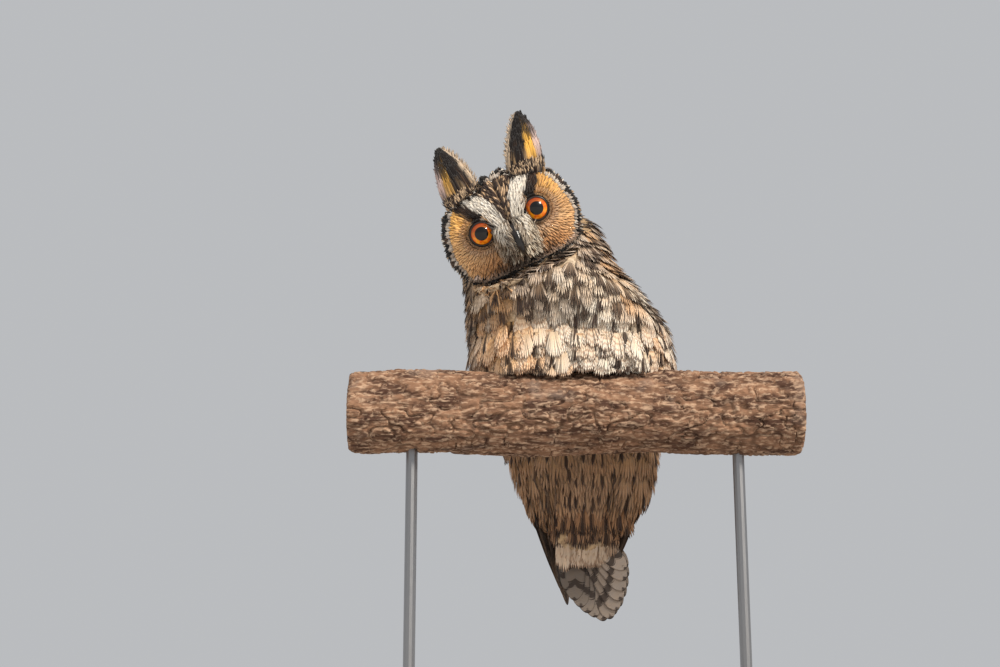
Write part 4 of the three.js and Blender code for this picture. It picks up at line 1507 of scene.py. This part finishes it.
def wing_places(side, along, across_wing):
    """Places and normals on the skin where a wing lies against the body."""
    along, across_wing = np.broadcast_arrays(along, across_wing)
    height = 99 - 182 * along + 20 * across_wing
    lead = np.interp(height, LEAD_TURN[:, 0], LEAD_TURN[:, 1])
    back = np.interp(height, BACK_TURN[:, 0], BACK_TURN[:, 1])
    places = ring_places(height, side * (lead + (back - lead) * across_wing))
    good = np.isfinite(places[:, 0])
    for axis in range(3):
        places[:, axis] = np.interp(np.arange(len(good)), np.flatnonzero(good), places[good, axis])
    return on_skin(places)


def wing_unwrap(side, along, across_wing):
    return np.stack([0.5 + side * (0.03 + 0.44 * across_wing), 0.04 + 0.92 * along], axis=-1)


def wing_flow(points):
    """From the shoulder down, and a little back round the body."""
    _, turn = body_place(points)
    back = xyz(np.cos(turn), np.sin(turn), 0) * np.sign(turn)[:, None]
    return back * 0.22 + np.array([0, 0, -1.0])


def covert_looks(places, whiteness):
    """Looks of the wing's small feathers, of which some have pale tips."""
    count = len(places)
    base = blend(BROWN, GREY, 0.5 * noise(places, 8, 51))
    base = blend(base, BUFF, 0.5 * smoothstep(0.35, 0.8, noise(places, 12, 52)))
    tip = blend(base, CREAM, 0.2 + whiteness * (rng.random(count) > 0.6))
    ground = np.stack([base * 0.75, tip], axis=1) * vary(count, 0.12)[:, None, None]
    marking = DARK * vary(count, 0.25)[:, None]
    return ground, marking, xyz(0.22 * vary(count, 0.4), 0.6 + jitter(count, 0.25), 0.3)


def add_coverts(coat, side, along, across_wing, length, half_width, lift, whiteness=0.2):
    along, across_wing = np.broadcast_arrays(along, across_wing)
    places, _ = wing_places(side, along, across_wing)
    count = len(places)
    nodes, normals = march(places, wing_flow, length * vary(count, 0.1), jitter(count, 0.1))
    ground, marking, kind = covert_looks(places, whiteness)
    coat.add_plumes(nodes, normals, half_width * vary(count, 0.1), lift * vary(count, 0.06),
                    ground, marking, kind, wing_unwrap(side, along, across_wing), blades=9, rows=4, arch=0.12,
                    loose=0.2, fan=0.45)


def wing_row(along, space, row):
    """Shares across the wing of one row's feathers, about that far apart."""
    ends, _ = wing_places(1, np.full(9, along), np.linspace(0, 1, 9))
    count = max(int(np.linalg.norm(np.diff(ends, axis=0), axis=1).sum() / space), 3)
    return np.clip((np.arange(count) + 0.5 * (row % 2) + 0.25) / count + jitter(count, 0.01), 0, 0.99)


LARGE_COVERTS = (   # share along the wing, and the feathers' length, half width, lift and spacing
    (0.42, 21, 6.4, 6.2, 10.5), (0.5, 28, 7.2, 6.6, 11.5),
)


def make_wing_coat():
    coat = Coat("coat_wings")
    for _, side in SIDES:
        for row, along in enumerate(np.arange(0.0, 0.42, 0.034)):
            shares = wing_row(along, 7.5, row)
            shares = shares[shares < 0.8]
            add_coverts(coat, side, along + jitter(len(shares), 0.006), shares, 15, 4.9, 5.8)
        for along, length, half_width, lift, space in LARGE_COVERTS:
            shares = wing_row(along, space, 0)
            alongs = along + jitter(len(shares), 0.006)
            add_coverts(coat, side, alongs, shares, length, half_width, lift, 0.35)
        # Scapulars lie over the wing's back edge
        for row, along in enumerate(np.arange(0.06, 0.56, 0.055)):
            shares = np.linspace(0.62, 0.97, 5) + 0.04 * (row % 2)
            add_coverts(coat, side, along + jitter(5, 0.01), shares, 24, 7.0, 7.2, 0.3)
    coat.make("plumage_wing", SOFT_FEATHER)


def flight_looks(count, ground, tip, strength):
    """Looks of large feathers: barred, with no shaft streak or tip line."""
    base = ground * vary(count, 0.1)[:, None]
    colours = np.stack([base * 0.9, blend(base, tip, 0.55)], axis=1)
    marking = colour(48, 36, 31) * vary(count, 0.15)[:, None]
    return colours, marking, xyz(np.zeros(count), strength, 0)


def lane_patches(count):
    """Each large feather has a lane of its own in the unwrap."""
    return np.stack([(np.arange(count) + 0.5) / count, np.full(count, 0.5)], axis=-1), (0.9 / count, 0.9)


def even_path(points, count):
    """The same path through that many evenly spaced points, smoothed a little."""
    for _ in range(2):
        points = np.concatenate([points[:1], (points[:-2] + 2 * points[1:-1] + points[2:]) / 4, points[-1:]])
    far = np.concatenate([[0], np.cumsum(np.linalg.norm(np.diff(points, axis=0), axis=1))])
    at = np.linspace(0, far[-1], count)
    return np.stack([np.interp(at, far, points[:, a]) for a in range(3)], axis=-1)


QUILL_NODES = 8


def quill_paths():
    """Places, normals, half width and lift of each flight feather of both wings."""
    found = []
    for _, side in SIDES:
        # Secondaries, from the leading ones to those by the back
        for k, share in enumerate(np.linspace(0, 1, 11)):
            along = np.linspace(0.46 - 0.06 * share, 0.93 - 0.12 * share, 9)
            across_wing = np.linspace(0.12 + 0.72 * share, 0.4 + 0.56 * share, 9)
            found.append((*wing_places(side, along, across_wing), 8.0, 1.2 + 0.12 * k))
        # Primaries, the outermost along the leading edge and the longest to the wing's tip
        for k, share in enumerate(np.linspace(0, 1, 9)):
            along = np.linspace(0.5, 0.9, 6)
            place, normal = wing_places(side, along, np.linspace(0.02 + 0.22 * share, 0.06 + 0.5 * share, 6))
            tip = np.array([side * (19 - 11 * share), 93 + 9 * share, PERCH_Z - 93 - 30 * share])
            place = place + normal * 2
            place = np.concatenate([place, place[-1:] * 0.45 + tip * 0.55, [tip]])
            free = unit(np.array([[side * 0.75, 0.6, 0.1]]))
            normal = np.concatenate([normal, unit(normal[-1:] + free), free])
            found.append((place, normal, 6.4, 0.3 + 0.25 * k))
    return found


def make_quills():
    places, normals, widths, lifts = zip(*quill_paths())
    nodes = np.array([even_path(place, QUILL_NODES) for place in places])
    normals = np.array([unit(even_path(normal, QUILL_NODES)) for normal in normals])
    lifts = np.array(lifts)
    root_depth = 3.6
    count = len(places)
    ground, marking, kind = flight_looks(count, colour(118, 92, 71), colour(146, 124, 104), 0.7)
    patch, size = lane_patches(count)
    coat = Coat("wing_flight_feathers")
    coat.add(nodes, normals, np.array(widths), (lifts - root_depth, lifts), ground, marking, kind,
             patch, rows=26, columns=9, root_width=0.7, tip_width=0.55, round_tip=1.1, fray=0.0, arch=0.05,
             patch_size=size, wave=0.02, seed=0.3 + jitter(count, 0.05))
    coat.make("flight_feather", STIFF_FEATHER, ["wing_left_quills", "wing_right_quills"])


# x, y and height of the tail feathers' tips, from the right-hand edge of the bird round
TAIL_TIPS = np.array([
    (-11, 92, -114), (-6, 91, -121), (-1, 90.5, -126), (4, 90, -130), (9.5, 89.6, -133), (16, 89.2, -135.5),
    (21, 88.8, -134), (25.5, 88.4, -128), (28.5, 88, -121), (30.5, 87.6, -114), (31.5, 87.2, -106.5),
    (31.5, 86.8, -99),
])


def make_tail():
    count = len(TAIL_TIPS)
    share = np.arange(count) / (count - 1)
    roots = xyz(-8 + 13 * share, 84 - 2 * share, -52.0)
    t = np.linspace(0, 1, 7)[None, :, None]
    bend = xyz(2.5 - 9 * share, 2.0, 0)
    nodes = roots[:, None] * (1 - t) + TAIL_TIPS[:, None] * t + bend[:, None] * 4 * t * (1 - t)
    nodes[..., 2] += PERCH_Z
    # Seen from below, the outer feathers lie under the middle ones
    layer = 5.0 * np.abs(share - 0.5) * 2
    normals = np.broadcast_to(unit(np.array([0.05, -1.0, 0.02])), nodes.shape)
    ground, marking, kind = flight_looks(count, colour(122, 98, 78), colour(206, 192, 178), 0.85)
    # The bird's right side of the tail is in its own shade and darker
    ground = ground * (0.45 + 0.75 * share)[:, None, None]
    patch, size = lane_patches(count)
    coat = Coat("tail_feathers")
    shape = dict(rows=24, columns=9, root_width=0.5, tip_width=0.75, round_tip=0.75, fray=0.0, arch=0.03,
                 patch_size=size, wave=0.02, seed=0.3 + jitter(count, 0.04))
    coat.add(nodes, normals, 8.2, (layer, layer * 1.2), ground, marking, kind, patch, **shape)
    # A second layer fills the fan from behind
    upper = nodes + np.array([2.5, 1.8, 3.0])
    coat.add(upper, -normals, 8.0, (layer * 0.4, layer * 0.5), ground * 0.9, marking, kind, patch, **shape)
    coat.make("tail_feather", STIFF_FEATHER, ["tail"])


def hanging_rows(coat, rows, middle_turn, reach, follow, looks):
    """Soft feathers that leave the body and hang over the tail's root, in front of it or behind.

    Each row has a height, a length and how far it hangs backwards. reach is the number of feathers to
    each side, and follow is how much of the skin's direction they keep."""
    t = np.linspace(0, 1, 5)[None, :, None]
    for row, (height, length, backwards) in enumerate(rows):
        turns = middle_turn + (np.arange(-reach, reach + 1) + 0.5 * (row % 2)) * 0.15
        places = ring_places(height + jitter(len(turns), 2), turns)
        places = places[np.isfinite(places[:, 0])]
        count = len(places)
        nodes, normals = march(places, body_flow, np.full(count, 14.0), steps=1)
        start, first = nodes[:, 0], unit(nodes[:, 1] - nodes[:, 0])
        hang = unit(first * follow + np.array([0.04, backwards, -1.0]) + jitter(count, 0.1)[:, None])
        lengths = length * vary(count, 0.08)[:, None, None]
        path = start[:, None] + (first[:, None] * (t * (1 - t) * 0.5) + hang[:, None] * t) * lengths
        facing = np.broadcast_to(normals[:, :1], path.shape)
        ground, marking, kind = looks(start, row)
        coat.add_plumes(path, facing, 7.5, 2.4 + row, ground, marking, kind, body_unwrap(start), blades=11)


def undertail_looks(places, row):
    """Cream at the end and browner above, partly the coverts' own buff and partly painted shade under the perch.
    """
    count = len(places)
    brown = colour(164, 122, 88)
    base = blend(colour(222, 200, 176), brown, min(0.45 * row, 1.0)) * vary(count, 0.06)[:, None]
    ground = np.stack([blend(base, brown, 0.6), base], axis=1)
    kind = np.tile([0.16 if row > 1 else 0.0, 0.0, 0.5], (count, 1))
    return ground, np.broadcast_to(DARK if row > 1 else RUST * 0.7, (count, 3)), kind


def uppertail_looks(places, _):
    return back_looks(places)


UNDERTAIL_ROWS = ((-68, 32, 0.34), (-62, 30, 0.34), (-56, 27, 0.34), (-50, 25, 0.34))
UPPERTAIL_ROWS = ((-74, 27, 0.14), (-69, 27, 0.2), (-63, 28, 0.28), (-56, 29, 0.36))


def make_tail_coverts():
    coat = Coat("coat_undertail")
    hanging_rows(coat, UNDERTAIL_ROWS, 0.0, 8, 0.6, undertail_looks)
    hanging_rows(coat, UPPERTAIL_ROWS, math.pi, 5, 0.1, uppertail_looks)
    coat.make("plumage_breast", SOFT_FEATHER)


make_wing_coat()
make_quills()
make_tail()
make_tail_coverts()


# Legs and feet: short dense tufts down to the claws
def foot_flow(points):
    on_toes = smoothstep(46, 38, points[:, 2] - PERCH_Z)
    return xyz(0, -on_toes * np.sign(14 - points[:, 1]), -1.0 + 0.6 * on_toes)


def make_foot_coat():
    coat = Coat("coat_feet")
    places = scatter(1.9, near_foot, 1.5)
    count = len(places)
    nodes, normals = march(places, foot_flow, 5.5 * vary(count, 0.2), jitter(count, 0.25), steps=3)
    tips = blend(BUFF, CREAM, rng.random(count)) * vary(count, 0.1)[:, None]
    coat.add_bristles(nodes, normals, 1.1, (0.0, 2.0), two_tone(tips, 0.6), body_unwrap(places),
                      tip_width=0.35, marking=BROWN)
    coat.make("foot_feather", SOFT_FEATHER)


make_foot_coat()


# Claws and bill, made finer from the frame's own solids
HORN_SMOOTHING = 4
def refined(name, nodes, voxel, material):
    solid = voxel_solid(name, nodes, voxel, HORN_SMOOTHING)
    return finish_piece(new_object(name, solid), material, nodes)


def make_horn():
    claws = [f"claw_{name}_{k}" for name, _ in SIDES for k in range(1, 5)]
    refined("claws", claws, 0.35, CLAW_HORN)
    refined("bill_horn", ["bill"], 0.4, BILL_HORN)


make_horn()


# The perch: a cut branch with rough scaly bark and two sawn ends
PERCH_STEPS = 350
PERCH_AROUND = 200


def bark_shape():
    """Rings of points along the perch, and how far each of them stands out of the bark's cracks."""
    low_x, high_x = perch_low[0], perch_high[0]
    x = np.linspace(low_x, high_x, PERCH_STEPS)[:, None]
    turn = (np.arange(PERCH_AROUND) / PERCH_AROUND * 2 * math.pi)[None, :]
    uneven = 0.7 * (np.sin(3 * turn + x / 31) + np.sin(x / 23 - turn))
    x, turn, radius = np.broadcast_arrays(x, turn, PERCH_RADIUS + uneven)
    place = xyz(x * 0.5, radius * np.sin(turn), radius * np.cos(turn))
    warp = (noise(place, 11, 61)[..., None] - 0.5) * 7
    coarse = noise(place + warp, 6.0, 62)
    fine = noise(place + warp * 0.4, 2.1, 63)
    finest = noise(place, 1.1, 65)
    shallow = 0.5 + 0.5 * smoothstep(0.0, 0.16, np.abs(fine - 0.5))
    fissure = smoothstep(0.0, 0.07, np.abs(coarse - 0.5)) * shallow
    relief = fissure * (0.6 + 0.25 * fine + 0.15 * noise(place, 12, 64))
    grown = radius - 2.2 + 3.0 * relief + 0.9 * (finest - 0.5)
    grown = grown - 1.4 * bell(np.minimum(x - low_x, high_x - x), 1.2)
    return xyz(x, grown * np.sin(turn), PERCH_Z + grown * np.cos(turn)), relief


def make_perch():
    bark_points, relief = bark_shape()
    bark = grid_polygons(PERCH_STEPS, PERCH_AROUND)
    around = np.arange(PERCH_AROUND)
    points = [bark_points.reshape(-1, 3)]
    fans, caps = [], []
    first = relief.size
    rings = 12
    shares = np.linspace(1, 0.02, rings)[1:, None, None]
    # Each sawn end is a fan of rings round a small cap, the first one turned the other way round
    for row, order in ((0, -1), (PERCH_STEPS - 1, 1)):
        edge = bark_points[row]
        centre = np.array([edge[0, 0], 0.0, PERCH_Z])
        inner = (centre + (edge[None] - centre) * shares).reshape(-1, 3)
        index = np.concatenate([row * PERCH_AROUND + around, first + np.arange(len(inner))])
        fans.append(index[grid_polygons(rings, PERCH_AROUND)][:, ::order])
        caps.append(index[(rings - 1) * PERCH_AROUND + around][None, ::order])
        points.append(inner)
        first += len(inner)
    data = np.concatenate([relief.ravel(), np.ones(first - relief.size)])
    obj = mesh_object("perch_bark", np.concatenate(points), [bark, *fans, *caps],
                      point_data={"relief": ("FLOAT_VECTOR", np.repeat(data[:, None], 3, axis=1))})
    finish_piece(obj, bark_material(), ["perch"])
    obj.data.materials.append(end_grain_material())
    index = np.zeros(len(obj.data.polygons), np.int32)
    index[len(bark):] = 1
    obj.data.polygons.foreach_set("material_index", index)


def finish_stand():
    steel = stand_steel_material()
    looks = {"stand_base": stand_wood_material(), "stand_rod_left": steel, "stand_rod_right": steel}
    for name, material in looks.items():
        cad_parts[name].data.materials[0] = material


make_perch()
finish_stand()


# Stage, camera and light
CAMERA_PLACE = (-0.0595, -1.06496, 0.02139)
CAMERA_UP_DEG = 14.5
CAMERA_LENS = 56.57
FLOOR_SIZE = 14
SKY_COLOUR = (0.88, 0.9, 0.93, 1.0)
SKY_STRENGTH = 0.56
SUNS = (   # name, where it comes from, strength, spread in degrees and tint
    ("key", (1.0, -1.1, 1.15), 3.6, 12, (1.0, 0.93, 0.82)),
    ("fill", (-1.3, -1.0, 0.5), 0.35, 60, (0.9, 0.94, 1.0)),
    ("front", (0.1, -1.0, 0.12), 0.3, 50, (1.0, 0.97, 0.93)),
    ("back", (-0.5, 1.2, 1.0), 0.9, 40, (0.95, 0.97, 1.0)),
)


def soft_light(name, direction, strength, spread_deg, tint):
    """Even light. Only one from a small part of the sky is seen in glossy things."""
    light = bpy.data.lights.new(name, "SUN")
    light.energy = strength
    light.angle = math.radians(spread_deg)
    light.color = tint
    obj = new_object(name, light)
    obj.rotation_euler = (-Vector(direction)).to_track_quat("-Z", "Y").to_euler()
    obj.visible_glossy = spread_deg < 20


def make_stage():
    scene = bpy.context.scene
    bpy.ops.mesh.primitive_plane_add(size=FLOOR_SIZE, location=(0, 0, 0))
    floor = bpy.context.object
    floor.name = "floor"
    floor.data.materials.append(floor_material())

    lens = bpy.data.cameras.new("camera")
    lens.lens = CAMERA_LENS
    lens.clip_start = 0.01
    camera = new_object("camera", lens)
    camera.location = CAMERA_PLACE
    camera.rotation_euler = (math.radians(90 + CAMERA_UP_DEG), 0, 0)
    scene.camera = camera

    for sun in SUNS:
        soft_light(*sun)
    world = bpy.data.worlds.new("pale")
    scene.world = world
    world.use_nodes = True
    background = world.node_tree.nodes["Background"]
    background.inputs["Color"].default_value = SKY_COLOUR
    background.inputs["Strength"].default_value = SKY_STRENGTH
    scene.view_settings.view_transform = "Standard"
    scene.view_settings.look = "None"


make_stage()

bpy.context.view_layer.update()
